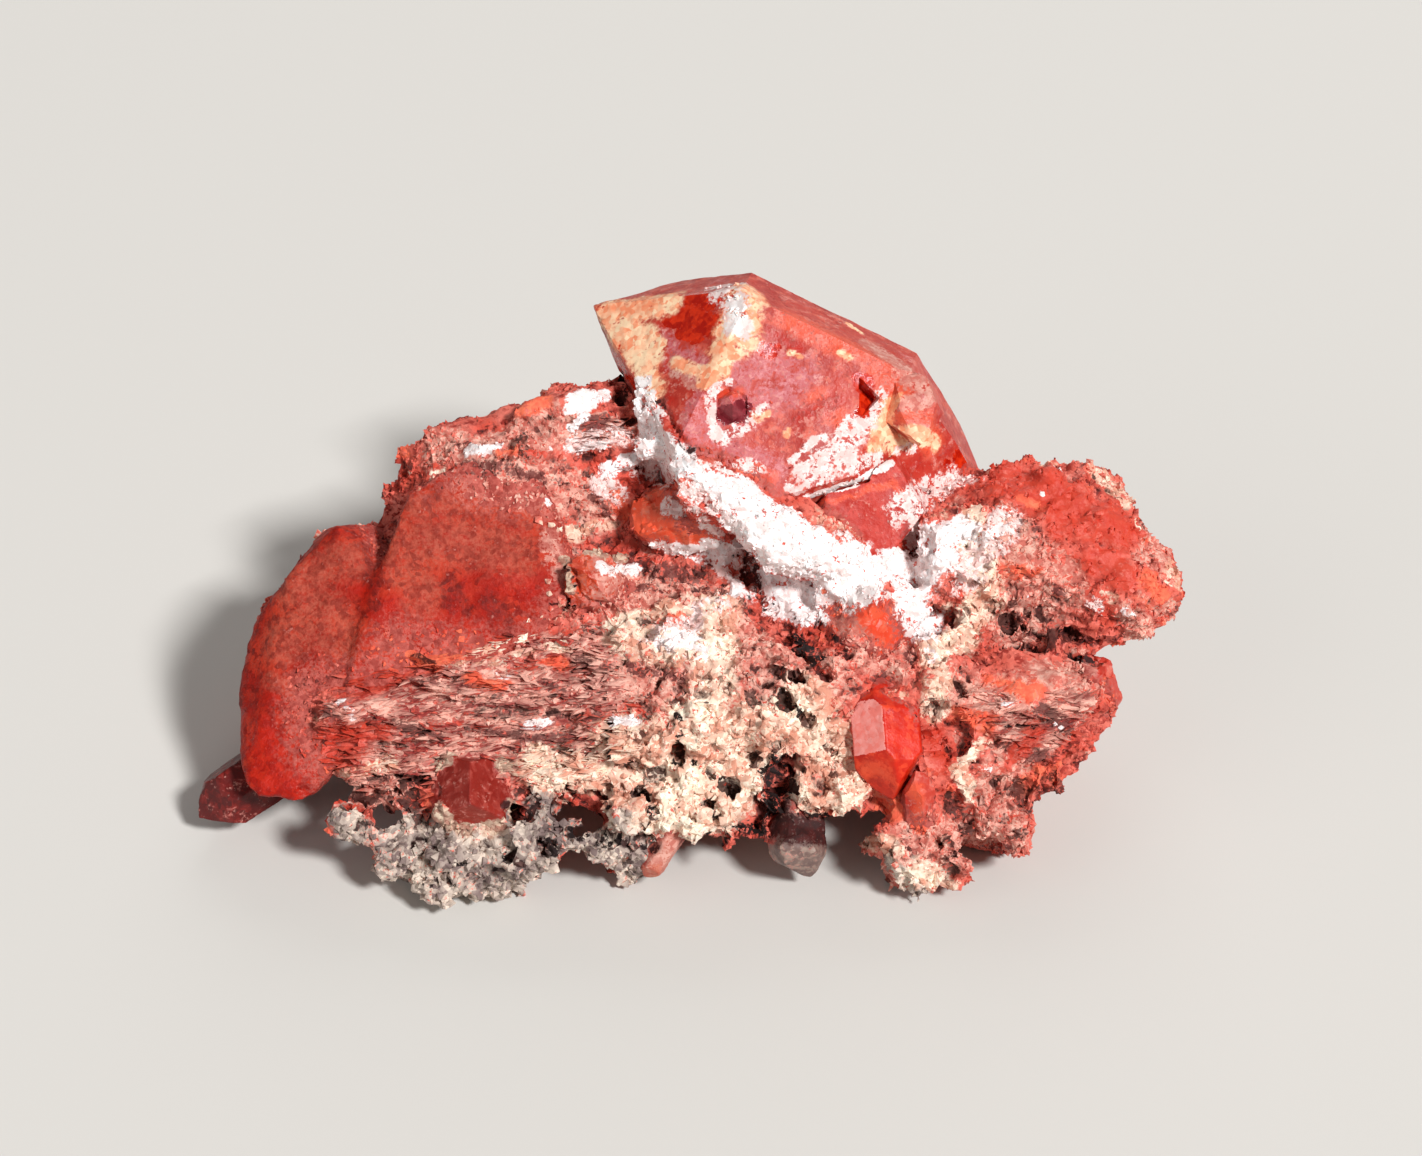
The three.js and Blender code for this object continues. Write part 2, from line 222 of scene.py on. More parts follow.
def makeCamera():
    data = bpy.data.cameras.new("camera")
    data.lens, data.sensor_width = view["lens"], view["sensor"]
    data.clip_start, data.clip_end = view["nearest"], view["farthest"]
    camera = newObject("camera", data)
    rise = math.radians(view["elevation"])
    back = Vector((0, -math.cos(rise), math.sin(rise))) * view["distance"] * mm
    camera.location = Vector(view["lookAt"]) * mm + back
    camera.rotation_euler = (math.pi / 2 - rise, 0, 0)
    bpy.context.scene.camera = camera
    bpy.context.view_layer.update()
    return camera


camera = makeCamera()
toCamera = np.array((camera.matrix_world.translation - Vector(view["lookAt"]) * mm).normalized())


def facesOf(pieces):
    corners, faces = [], []
    for piece in pieces:
        start = len(corners)
        faces += [[start + i for i in face.vertices] for face in piece.data.polygons]
        corners += [v.co.copy() for v in piece.data.vertices]
    return BVHTree.FromPolygons(corners, faces)


stone = facesOf(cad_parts.values())
bareRock = facesOf([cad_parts["matrix"]])


# Where the ray through a pixel of the view meets the stone, or passes closest to it.
def underPixel(x, y):
    scale = view["sensor"] / view["width"]
    across, up = (x - view["width"] / 2) * scale, (view["height"] / 2 - y) * scale
    turn = camera.matrix_world.to_3x3()
    direction = (turn @ Vector((across, up, -view["lens"]))).normalized()
    origin = camera.matrix_world.translation
    hit = stone.ray_cast(origin, direction)[0]
    return hit or stone.find_nearest(origin + direction * view["distance"] * mm)[0]


# A stroke laid on the stone: its width, and a place for every few pixels along it.
def laidOut(stroke, step=5):
    width, *pixels = stroke
    places = [underPixel(*pixels[0])]
    for (x0, y0), (x1, y1) in zip(pixels, pixels[1:]):
        count = max(1, round(math.hypot(x1 - x0, y1 - y0) / step))
        for i in range(1, count + 1):
            places.append(underPixel(x0 + (x1 - x0) * i / count, y0 + (y1 - y0) * i / count))
    return width * mm, places


# How strongly each place is painted: 1 along a stroke, a half at its edge, 0 well outside it.
def painted(places, laidStrokes):
    weight = np.zeros(len(places), np.float32)
    for width, along in laidStrokes:
        low, high = np.min(along, axis=0) - width, np.max(along, axis=0) + width
        near = np.nonzero(((places > low) & (places < high)).all(1))[0]
        if not len(near):
            continue
        reach = np.full(len(near), np.inf, np.float32)
        for point in along:
            reach = np.minimum(reach, ((places[near] - np.array(point)) ** 2).sum(1))
        here = np.clip(1.5 - np.sqrt(reach) / (width / 2), 0, 1)
        weight[near] = np.maximum(weight[near], here)
    return weight


# Where each colour or texture lies on the front, by name. A stroke is its width in mm, then the pixels of the
# view that it runs through.
strokes = {}
# snowy white crust round the foot of the large crystal
strokes["crust"] = {
    "blade": (1.9, (640, 388), (646, 412), (660, 438), (680, 458)),
    "bladeLeft": (1.6, (630, 402), (638, 426), (648, 448)),
    "bladeFoot": (1.9, (652, 455), (690, 470), (718, 482)),
    "slab": (1.3, (608, 470), (630, 460), (652, 447)),
    "aboveEmber": (1.7, (690, 466), (722, 488), (742, 508)),
    "bandTop": (3.4, (740, 490), (765, 512), (795, 532), (830, 552)),
    "bandMiddle": (5.0, (752, 535), (795, 558), (850, 572)),
    "bandLow": (2.6, (762, 588), (785, 604), (812, 606)),
    "bandTail": (1.2, (800, 618), (822, 618)),
    "underLower": (2.8, (850, 575), (900, 568), (945, 556)),
    "rightOfLower": (2.4, (918, 546), (940, 532), (962, 530)),
    "bandDown": (3.0, (925, 565), (915, 600), (928, 630)),
    "columnRight": (0.9, (926, 636), (934, 660)),
    "aboveLower": (0.7, (800, 498), (830, 490), (858, 480), (890, 464)),
    "patchLeft": (1.5, (680, 550), (708, 553)),
    "shelfUnderBand": (1.8, (712, 548), (745, 560)),
    "ridgeTop": (1.8, (578, 404), (592, 393), (606, 390)),
    "ridgeTopLow": (0.9, (574, 426), (586, 414)),
    "ridgeFan": (1.1, (583, 451), (602, 446)),
    "ridgeLeft": (1.5, (470, 449), (490, 444)),
    "ridgeSpot": (0.7, (546, 454), (553, 448)),
    "ridgeDot": (0.6, (548, 500), (552, 501)),
    "ridgeDotRight": (0.6, (583, 503), (588, 500)),
    "bandGap": (2.4, (762, 576), (788, 588), (812, 594)),
    "middleWhite": (1.6, (655, 645), (690, 636), (702, 655)),
    "knob": (1.0, (698, 609), (718, 612)),
    "blockTop": (1.3, (606, 566), (622, 568), (634, 577)),
    "leftFlake": (0.8, (343, 702), (354, 712)),
    "ledgeFlake": (0.8, (530, 726), (546, 722)),
    "ledgeFlakeUp": (0.5, (490, 667), (506, 676)),
    "lobePatch": (1.0, (984, 536), (1002, 530)),
    "lobeDot": (0.6, (1052, 470), (1060, 470)),
    "lobeDotLow": (0.4, (1041, 493), (1043, 494)),
    "lobeDash": (0.5, (1021, 599), (1030, 599)),
    "lobeFleck": (0.5, (1062, 612), (1076, 616)),
    "rightFleck": (0.5, (1000, 700), (1010, 704)),
    "rightFleckLow": (0.5, (985, 768), (992, 772)),
    "rightFleckEnd": (0.4, (1056, 724), (1062, 728)),
    "lobeEdgeSpot": (0.7, (1124, 611), (1134, 617)),
    "creamTop": (1.2, (612, 722), (634, 724)),
    "tipPatch": (1.2, (733, 302), (740, 316), (736, 326)),
    "kneeWhite": (1.1, (733, 576), (736, 592)),
}
# the same crust where it is thin and broken
strokes["frost"] = {
    "footMass": (3.0, (812, 474), (828, 462), (844, 454)),
    "footUp": (2.2, (836, 450), (852, 436), (864, 426)),
    "footLow": (1.6, (852, 468), (876, 458)),
    "footFleck": (0.8, (838, 432), (850, 420)),
    "footSpot": (1.0, (790, 486), (798, 492)),
    "footTop": (1.2, (868, 424), (876, 408), (880, 394)),
    "footEnd": (1.4, (896, 452), (912, 446)),
    "footWisp": (0.9, (792, 460), (806, 446), (822, 438)),
    "bandFoot": (3.0, (730, 556), (762, 584), (800, 608)),
    "upRight": (3.0, (900, 508), (935, 488), (968, 478)),
    "pitRim": (1.0, (728, 382), (708, 399), (712, 424), (722, 434), (744, 428), (764, 406)),
    "pitFoot": (1.2, (712, 432), (724, 440)),
    "aboveEmber": (3.0, (640, 462), (680, 480), (712, 500)),
    "tipWhite": (2.6, (722, 292), (736, 304), (738, 328)),
    "tipTop": (1.4, (708, 288), (742, 284)),
    "besideSlab": (2.2, (596, 482), (618, 496)),
    "underEmber": (1.4, (650, 545), (690, 552)),
    "onEmber": (1.6, (666, 506), (696, 518), (716, 534)),
    "gapRight": (2.2, (920, 504), (914, 540)),
    "bladeRight": (1.4, (700, 455), (730, 470), (755, 490)),
    "faceLeft": (1.2, (722, 460), (760, 468)),
    "rightPatch": (3.4, (1004, 524), (980, 548), (968, 580)),
    "centreWide": (2.0, (720, 560), (735, 575)),
    "beside": (1.6, (690, 660), (716, 650)),
    "lobeEdge": (1.0, (1128, 602), (1140, 612)),
    "lobeCrumbs": (1.2, (1092, 602), (1106, 612)),
    "ridgeRight": (2.4, (575, 445), (600, 440), (625, 430)),
    "centre": (2.6, (655, 640), (690, 622), (715, 605)),
    "aroundLowEmber": (1.4, (830, 590), (870, 588), (905, 600)),
}
# cream granules
strokes["cream"] = {
    "saddle": (1.3, (545, 527), (575, 533), (608, 525)),
    "middle": (3.0, (622, 634), (662, 646), (700, 652)),
    "column": (3.4, (716, 610), (714, 655), (714, 690), (700, 725)),
    "kneeRow": (1.4, (610, 625), (650, 612), (690, 604)),
    "fieldTopLeft": (4.4, (622, 745), (645, 752), (672, 745)),
    "fieldCentre": (5.0, (690, 730), (740, 730), (790, 735)),
    "fieldRight": (4.4, (806, 700), (822, 740), (846, 775)),
    "fieldRow": (4.6, (630, 775), (700, 780), (745, 770)),
    "fieldLow": (4.4, (630, 800), (690, 808), (742, 800)),
    "fieldLowLeft": (3.4, (540, 768), (590, 775), (618, 785)),
    "apron": (3.2, (802, 790), (818, 805), (850, 798)),
    "apronRight": (2.0, (855, 735), (856, 790)),
    "leftStreak": (0.8, (450, 665), (480, 652), (522, 640)),
    "leftSkirt": (1.1, (524, 632), (540, 610), (552, 588)),
    "ledgeStreak": (0.9, (480, 662), (530, 655), (582, 642)),
    "ridgeCream": (1.0, (424, 492), (440, 468)),
    "ridgeEdge": (0.9, (406, 478), (400, 522), (398, 560)),
    "leftCream": (1.1, (345, 775), (392, 762)),
    "leftDiamondCoat": (0.8, (454, 800), (468, 815)),
    "lobeCream": (2.6, (978, 555), (985, 600), (960, 640)),
    "leftColumn": (2.0, (930, 640), (937, 675), (934, 712)),
    "rightColumn": (1.7, (945, 640), (940, 690)),
    "lobeRim": (0.6, (970, 458), (1000, 456), (1022, 467), (1052, 464)),
    "lobeRimRight": (0.5, (1128, 500), (1139, 528)),
    "shelf": (1.6, (858, 838), (900, 846)),
    "footRight": (2.0, (915, 872), (945, 882)),
    "besideLobe": (1.6, (975, 512), (965, 545)),
    "rightRow": (1.4, (985, 745), (960, 770), (970, 800)),
}
# grey granules on what the rock stands on
strokes["grey"] = {
    "footTop": (4.4, (405, 845), (450, 850), (505, 845)),
    "foot": (4.6, (396, 878), (440, 898), (490, 890), (522, 876)),
    "footEnd": (2.2, (545, 845), (552, 880)),
    "shelf": (2.2, (540, 800), (558, 828), (502, 825)),
    "nub": (2.2, (340, 850), (346, 882)),
    "nubTop": (2.4, (345, 818), (352, 832)),
    "peg": (1.8, (626, 868), (614, 896)),
    "lumpLeft": (2.0, (690, 862), (690, 880)),
    "lumpMiddle": (2.6, (728, 850), (742, 870)),
    "lumpRight": (1.8, (838, 872), (866, 870)),
    "toothGrey": (0.9, (812, 737), (836, 724)),
    "fieldLow": (2.0, (600, 820), (700, 832), (745, 815)),
    "fringe": (2.8, (572, 836), (606, 850), (640, 862)),
    "fringeRight": (2.4, (650, 848), (690, 846)),
    "fringeUnder": (2.0, (640, 880), (600, 872)),
    "footFar": (2.4, (890, 862), (925, 895)),
}
# broken ground: pale, pink and brown grains side by side
strokes["mottle"] = {
    "ridge": (3.8, (430, 445), (500, 435), (560, 425), (610, 425)),
    "ridgeLow": (5.0, (480, 475), (560, 490), (600, 510)),
    "besideWax": (2.2, (552, 540), (562, 570)),
    "centre": (6.0, (620, 590), (700, 600), (760, 660)),
    "centreLow": (6.0, (600, 650), (680, 690), (790, 680)),
    "leaves": (5.0, (470, 690), (540, 730), (590, 745)),
    "lobeLow": (6.0, (1000, 540), (1050, 590), (1010, 620)),
    "lobeEdge": (3.0, (1130, 620), (1150, 650)),
    "right": (5.0, (960, 690), (1040, 700), (1000, 800)),
    "besideCrack": (3.6, (752, 650), (790, 680), (840, 680)),
    "rightOfCrack": (2.6, (840, 620), (870, 660), (900, 668)),
    "underBand": (3.4, (722, 590), (748, 624), (770, 650)),
    "crackLow": (3.0, (800, 668), (836, 660)),
    "onSide": (2.6, (1040, 668), (1082, 668), (1086, 700), (1050, 694)),
    "rightLow": (5.0, (900, 850), (960, 840), (1010, 830)),
    "low": (4.0, (560, 830), (640, 840), (700, 860)),
    "left": (3.0, (340, 780), (400, 800), (380, 770)),
    "foot": (6.0, (380, 850), (450, 870), (520, 870)),
    "largeRight": (2.4, (870, 345), (900, 365), (925, 390)),
    "largeFlecks": (1.4, (676, 372), (700, 385)),
    "facet": (1.7, (906, 404), (924, 402)),
    "onLedge": (1.6, (598, 560), (625, 572)),
}
# saturated red, smooth and waxy
strokes["glow"] = {
    "lowLeft": (3.6, (262, 745), (300, 760), (345, 745)),
    "lowLeftEdge": (2.4, (258, 775), (300, 800), (345, 810)),
    "underLeft": (1.6, (345, 738), (385, 732)),
    "waxMiddle": (3.2, (404, 612), (440, 642), (480, 640)),
    "waxRight": (2.2, (500, 572), (524, 590)),
    "waxLow": (3.0, (400, 660), (350, 690)),
    "lobeTop": (4.4, (1010, 480), (1060, 500), (1115, 520)),
    "lobeRed": (2.2, (1060, 525), (1095, 520)),
    "lobeSmooth": (2.6, (1100, 560), (1125, 575)),
    "embersRow": (1.4, (820, 595), (860, 595), (895, 600)),
    "underPrism": (2.0, (880, 790), (905, 805)),
    "sideRed": (1.6, (930, 720), (945, 770)),
    "lowRight": (1.6, (1010, 770), (1035, 730)),
    "largeMiddle": (1.4, (800, 420), (836, 400)),
    "largeTop": (1.2, (765, 330), (800, 350)),
    "largeLeft": (1.2, (640, 372), (655, 400)),
}
# salmon and orange
strokes["orange"] = {
    "ridgeOrange": (1.2, (500, 450), (525, 445)),
    "ridgeOrangeTop": (1.4, (520, 410), (545, 402)),
    "besideEmber": (1.6, (616, 500), (632, 516), (642, 530)),
    "ledgeOrange": (1.4, (535, 658), (562, 664)),
    "ledgeOrangeLeft": (1.4, (470, 678), (500, 684)),
    "kneeOrange": (1.2, (655, 614), (682, 616)),
    "blockSide": (1.0, (590, 585), (596, 598)),
    "underPrism": (2.6, (876, 775), (890, 805)),
    "rightOfPrism": (1.8, (955, 715), (985, 722)),
    "lowSpike": (1.2, (915, 790), (918, 825)),
    "lobeSalmon": (2.0, (1000, 575), (1035, 580)),
    "fieldTint": (1.2, (640, 770), (662, 775)),
    "fieldTintRight": (1.4, (826, 716), (842, 740)),
    "fieldTintLow": (1.0, (700, 812), (716, 822)),
    "fieldTintTop": (1.2, (690, 700), (712, 706)),
    "lobeSpeck": (0.8, (1020, 500), (1040, 506)),
    "emberLeft": (2.0, (822, 600), (842, 606)),
    "emberRight": (1.5, (876, 610), (896, 606)),
    "lobeEnd": (1.8, (1150, 580), (1168, 595)),
    "tipEdge": (1.0, (600, 312), (650, 304)),
    "largeRight": (2.4, (880, 370), (930, 440)),
    "largeTop": (2.2, (790, 318), (830, 338), (862, 352)),
    "waxBright": (2.2, (385, 652), (430, 660), (470, 640)),
    "largeFace": (1.6, (820, 398), (846, 428)),
    "largeLow": (1.2, (744, 466), (770, 476)),
    "pitFacet": (0.9, (722, 394), (740, 392)),
    "lowerEdge": (0.6, (822, 505), (890, 484), (918, 500)),
    "rightLump": (1.8, (990, 675), (1035, 690)),
    "leftLow": (1.6, (330, 775), (350, 790)),
    "rightPatch": (1.6, (1020, 790), (1036, 776)),
}
# dark red-brown and purple, and painted shade: the shadow, shade and notch strokes and leftOfLarge darken
# places in shade
strokes["umberAndShade"] = {
    "leftDark": (1.0, (360, 725), (400, 726), (440, 738)),
    "leaves": (0.7, (470, 728), (530, 738), (600, 736)),
    "leavesUp": (0.8, (550, 715), (612, 718)),
    "leavesLow": (0.7, (500, 750), (555, 748)),
    "leftOfLarge": (1.3, (604, 326), (616, 356), (628, 380), (640, 398)),
    "largeSpeckLow": (0.5, (800, 446), (812, 450)),
    "leavesTop": (0.9, (540, 682), (562, 692)),
    "window": (1.3, (620, 645), (632, 660)),
    "windowTail": (1.1, (632, 666), (660, 672), (684, 682)),
    "windowLeft": (1.0, (580, 662), (608, 668)),
    "underCentre": (1.5, (632, 560), (655, 572), (682, 572)),
    "underBlock": (0.9, (630, 583), (662, 588)),
    "speckled": (1.4, (690, 575), (715, 585), (725, 600)),
    "crackEdgeUp": (1.2, (745, 600), (760, 620)),
    "chip": (0.9, (575, 612), (592, 628)),
    "waxSpot": (1.0, (455, 582), (466, 612)),
    "waxNotch": (0.7, (444, 580), (446, 606)),
    "blocksNotch": (1.2, (366, 548), (374, 580), (374, 604)),
    "prismSlit": (0.6, (930, 704), (944, 718), (962, 728)),
    "waxShadow": (1.6, (488, 600), (512, 632)),
    "abovePrism": (0.9, (850, 690), (880, 678), (905, 690)),
    "creamDark": (0.8, (742, 720), (750, 705)),
    "ridgeDark": (1.4, (585, 425), (605, 415)),
    "ridgeLow": (1.2, (560, 480), (585, 490), (610, 512)),
    "ridgeShade": (1.5, (466, 468), (506, 468), (540, 480)),
    "ridgeShadeTop": (1.3, (446, 446), (478, 432)),
    "ridgeShadeRight": (1.3, (556, 462), (590, 470)),
    "ridgeShadeLeft": (1.1, (430, 500), (446, 480)),
    "lobeShadow": (1.0, (1030, 520), (1050, 545)),
    "lobeLow": (1.0, (1030, 632), (1080, 640), (1120, 640)),
    "lobeSpeck": (0.7, (1090, 486), (1104, 492)),
    "lobeSpeckLow": (0.7, (1060, 560), (1074, 566)),
    "lobeSpeckLeft": (0.8, (996, 480), (1010, 488)),
    "rightDark": (1.6, (1000, 745), (1040, 760)),
    "rightShade": (1.4, (1040, 710), (1070, 728)),
    "rightShadeLow": (1.2, (962, 742), (976, 768)),
    "rightShadeTop": (1.0, (985, 690), (1012, 684)),
    "lobeShade": (1.2, (1040, 585), (1064, 596)),
    "lobeShadeLeft": (1.0, (1000, 610), (1020, 618)),
    "rightLow": (1.2, (970, 855), (1010, 850)),
    "leftBand": (1.0, (300, 683), (360, 684), (430, 678)),
    "leftSpot": (1.2, (325, 712), (345, 728)),
    "sideOfLower": (0.6, (915, 510), (900, 545)),
    "greyHollow": (1.0, (940, 500), (955, 512)),
}
# cracks and holes: carved in, and painted near-black as painted shadow inside them
strokes["pit"] = {
    "besideLarge": (1.2, (622, 378), (624, 400), (628, 414)),
    "besideBlade": (0.5, (660, 400), (672, 425), (690, 452)),
    "mainTop": (1.2, (738, 560), (752, 575), (762, 588)),
    "mainMiddle": (2.1, (762, 596), (772, 614), (786, 622)),
    "mainLow": (2.0, (788, 626), (806, 642), (816, 652)),
    "mainTail": (0.8, (818, 654), (830, 672)),
    "branch": (0.6, (818, 622), (834, 640), (850, 652)),
    "low": (0.7, (797, 670), (798, 692), (800, 716), (808, 722)),
    "lowLeft": (0.6, (776, 690), (792, 704)),
    "fieldLeft": (0.8, (608, 722), (605, 745), (612, 756)),
    "fieldSlot": (0.7, (678, 716), (680, 745), (676, 764)),
    "fieldHole": (0.6, (694, 762), (716, 776)),
    "fieldHoleRight": (0.7, (722, 780), (728, 792)),
    "fieldEdge": (0.5, (738, 762), (762, 768)),
    "cave": (2.3, (776, 768), (778, 795), (770, 812)),
    "caveFloor": (2.3, (756, 826), (800, 826), (850, 836)),
    "caveLeft": (1.2, (700, 842), (730, 836), (756, 826)),
    "underShelf": (1.3, (560, 828), (600, 838), (650, 845)),
    "fieldLowHole": (0.8, (709, 806), (716, 816)),
    "fieldLowLeft": (0.6, (678, 800), (684, 812)),
    "shelfGap": (0.6, (562, 788), (592, 796), (606, 806)),
    "shelfGapRight": (0.9, (630, 796), (648, 806), (655, 816)),
    "block": (0.4, (556, 560), (573, 574), (578, 592), (588, 603), (602, 605)),
    "blockLeft": (0.4, (553, 606), (576, 613)),
    "slit": (0.6, (706, 622), (712, 630)),
    "leftSlit": (0.5, (302, 790), (330, 801), (366, 804)),
    "diamondSlit": (0.5, (396, 777), (424, 780), (438, 792)),
    "leftNick": (0.5, (384, 800), (398, 816)),
    "footSlit": (0.7, (420, 880), (460, 884)),
    "footHole": (0.6, (470, 892), (482, 892)),
    "footCleft": (0.6, (430, 860), (450, 868), (462, 860)),
    "footCleftRight": (0.7, (498, 864), (514, 852)),
    "shelfHole": (0.7, (506, 806), (532, 810)),
    "footGap": (0.7, (548, 842), (558, 862)),
    "rightHole": (1.2, (1000, 792), (990, 806)),
    "rightHoles": (0.7, (934, 840), (958, 854)),
    "footRightGap": (0.8, (858, 822), (885, 824)),
    "lobeCrack": (0.5, (1004, 641), (1034, 645), (1070, 651)),
    "lobeCrackDeep": (0.9, (1072, 654), (1094, 660)),
    "lobeCrackEnd": (0.5, (1098, 660), (1132, 651)),
    "lobeCrackUp": (0.4, (1018, 624), (1060, 634), (1098, 646)),
    "besideColumn": (0.7, (962, 648), (985, 656)),
    "columnCrack": (0.4, (960, 665), (962, 690)),
    "rightTick": (0.4, (1002, 724), (1036, 728)),
}
# thin leaves, one on another
strokes["leaf"] = {
    "upper": (4.6, (350, 712), (430, 700), (520, 695), (600, 690)),
    "lower": (4.6, (360, 750), (450, 750), (540, 742), (600, 745)),
    "top": (2.6, (460, 662), (540, 650), (604, 655)),
    "rightPlates": (3.0, (990, 700), (1040, 740), (1080, 700)),
    "ridge": (2.4, (590, 430), (610, 425)),
}
# where the rock is smooth
strokes["calm"] = {
    "lowLeft": (3.0, (255, 735), (290, 765), (320, 790)),
    "lobe": (1.6, (1080, 500), (1120, 520)),
    "lobeFace": (1.6, (1105, 560), (1125, 570)),
    "window": (0.9, (620, 648), (630, 656)),
    "underPrism": (2.2, (880, 780), (898, 808)),
    "slab": (1.0, (608, 470), (634, 460)),
    "saddle": (2.4, (490, 590), (520, 620)),
    "underLobe": (4.0, (1030, 665), (1044, 690), (1070, 692)),
    "ridgeTop": (1.8, (436, 424), (480, 414), (530, 404), (575, 392)),
}
# on the crystals: a granular coat, a bare dark window, partly painted shade, a pale film
strokes["coat"] = {
    "tipEdge": (2.6, (608, 312), (640, 306), (666, 300)),
    "tipBroad": (3.0, (622, 330), (640, 342), (648, 358)),
    "tipLow": (1.8, (644, 374), (656, 390)),
    "tipWhite": (3.2, (742, 290), (742, 310), (734, 338)),
    "tipTail": (1.8, (724, 352), (716, 372)),
    "tipMiddleRight": (1.1, (676, 362), (704, 374)),
    "tipRight": (1.2, (714, 350), (722, 366), (706, 384)),
    "faceFleck": (0.5, (790, 352), (800, 356)),
    "faceFleckRight": (0.6, (842, 352), (850, 360)),
    "faceFleckLow": (0.5, (700, 452), (712, 458)),
    "tipSpot": (0.7, (655, 338), (662, 344)),
    "rightStreak": (0.7, (880, 440), (890, 415), (900, 395)),
    "notchEdge": (1.6, (888, 405), (880, 430), (895, 445)),
    "flameLow": (1.1, (872, 448), (888, 442), (902, 444)),
    "flameRight": (1.2, (905, 432), (924, 434), (934, 444)),
    "besideFacet": (1.0, (905, 445), (930, 440)),
    "upperEdge": (0.6, (850, 325), (860, 332)),
    "pitDot": (0.6, (787, 430), (788, 436)),
    "filmSpeck": (0.7, (757, 418), (766, 415)),
}
strokes["window"] = {
    "darkPatch": (1.9, (676, 318), (700, 322), (712, 326)),
    "darkPatchTop": (1.7, (692, 298), (710, 300)),
    "redBand": (0.9, (680, 334), (700, 338)),
    # painted shade: the large crystal's left face, which lies in shadow
    "sliver": (1.3, (598, 318), (606, 342), (616, 358)),
    "sliverLow": (1.3, (620, 364), (634, 384)),
    # painted shade: a small recessed facet in shadow
    "recess": (1.4, (862, 380), (868, 395), (868, 405)),
    "recessLow": (1.1, (862, 402), (860, 416)),
    "warmSpot": (1.2, (745, 346), (772, 350)),
    # painted shade: the crystal's end face turned from the light
    "lowerSide": (1.2, (960, 455), (964, 480)),
    "besideFacet": (0.8, (948, 462), (955, 470)),
}
strokes["dust"] = {
    "waxTop": (3.0, (420, 505), (470, 498), (530, 515)),
    "waxUpper": (4.4, (420, 545), (465, 540), (515, 555)),
    "waxDown": (3.0, (415, 575), (420, 610)),
    "waxPatch": (2.4, (398, 575), (430, 590)),
    "waxTopRight": (2.2, (545, 520), (562, 560)),
    "waxLeft": (1.6, (400, 520), (388, 560)),
    "waxFoot": (1.6, (430, 680), (480, 655), (530, 640)),
    "blockTop": (3.6, (290, 590), (325, 565), (355, 560)),
    "blockMiddle": (4.4, (285, 640), (320, 610), (340, 640)),
    "blockLow": (1.6, (270, 680), (300, 690)),
}
strokes["film"] = {
    "faceLow": (3.2, (712, 450), (745, 455), (770, 470)),
    "faceMiddle": (2.2, (765, 385), (790, 395), (800, 380)),
    "faceTop": (1.6, (735, 360), (760, 365), (785, 370)),
    "faceWide": (5.0, (705, 430), (745, 400), (790, 375)),
    "tipWide": (3.0, (660, 345), (700, 370)),
    "tipMauve": (1.4, (675, 345), (680, 355)),
    "pitLeft": (1.6, (690, 410), (700, 395)),
    "facet": (1.6, (905, 405), (920, 402)),
    "faceCentre": (3.4, (745, 372), (785, 394)),
}
# rock grown over the crystals
strokes["overgrown"] = {
    "pyramidLowLeft": (1.3, (438, 812), (448, 822), (464, 830)),
    "pyramidLowRight": (1.3, (490, 828), (504, 818), (514, 804)),
    "pyramidTopLeft": (1.0, (433, 768), (450, 758)),
    "pyramidTopRight": (1.0, (498, 760), (514, 773)),
    "ledgeLeft": (0.8, (566, 560), (570, 590)),
    "ledgeTop": (1.2, (590, 552), (620, 556)),
}
strokes["wine"] = {
    "pitCrystal": (1.3, (724, 412), (742, 411)),
    "pitCrystalLow": (0.8, (728, 421), (746, 415)),
}
laid = {name: [laidOut(stroke) for stroke in group.values()] for name, group in strokes.items()}
print("strokes laid:", sum(len(group) for group in laid.values()))


# Close to 0 where two cells meet.
def seamAt(point):
    reach = noise.voronoi(point)[0]
    return reach[1] - reach[0]


# Broken faces: each cell slopes its own way.
def facetAt(point):
    heart = noise.voronoi(point)[1][0]
    return (point - heart) @ noise.cell_vector(heart * 7.3) - 0.6


# Patterns that move the surface, each a function of a point.
patterns = {
    "cloud": lambda point: noise.fractal(point, 1, 2, 4),
    "ridge": lambda point: noise.ridged_multi_fractal(point, 1, 2, 3, 1, 2),
    "cell": lambda point: noise.voronoi(point)[0][0],
    "seam": seamAt,
    "facet": facetAt,
}


# A pattern's value at each place, for a feature size in mm.
def sampled(places, pattern, size, stretch=None):
    points = places / (size * mm)
    if stretch is not None:
        points = points @ stretch
    return np.array([patterns[pattern](Vector(p)) for p in points.tolist()], np.float32)


# The same as heights in mm. A look is a height, a feature size, and the value that stays level if it isn't 0.
def relief(places, pattern, look, stretch=None):
    height, size, middle = (*look, 0)[:3]
    return height * (sampled(places, pattern, size, stretch) - middle)


def eased(values, low, high):
    share = np.clip((values - low) / (high - low), 0, 1)
    return share * share * (3 - 2 * share)


# Patches where no stroke reaches, as on the back: their size in mm, the noise where they start and fill,
# and how strong they get.
wildRock = {
    "mottle": (5.0, -0.1, 0.4, 0.85),
    "umberAndShade": (2.5, 0.15, 0.45, 0.7),
    "orange": (3.0, 0.15, 0.5, 0.6),
    "cream": (4.5, 0.1, 0.6, 0.55),
}
paintLook = {
    "clear": 1.3,  # how far patches keep from strokes
    "apart": 0.011,  # metres between one paint's clouds and the next one's
    "wander": (0.35, 1.1),  # how far borders stray, and the size of their bends, in mm
}


# Every paint's weight at each place.
def weights(places, wild):
    paint = {name: painted(places, laid[name]) for name in laid}
    bare = np.clip(1 - paintLook["clear"] * np.max(list(paint.values()), axis=0), 0, 1)
    for number, (name, (size, low, high, most)) in enumerate(wild.items()):
        patch = eased(sampled(places + paintLook["apart"] * (number + 1), "cloud", size), low, high)
        paint[name] = np.maximum(paint[name], patch * bare * most)
    return paint


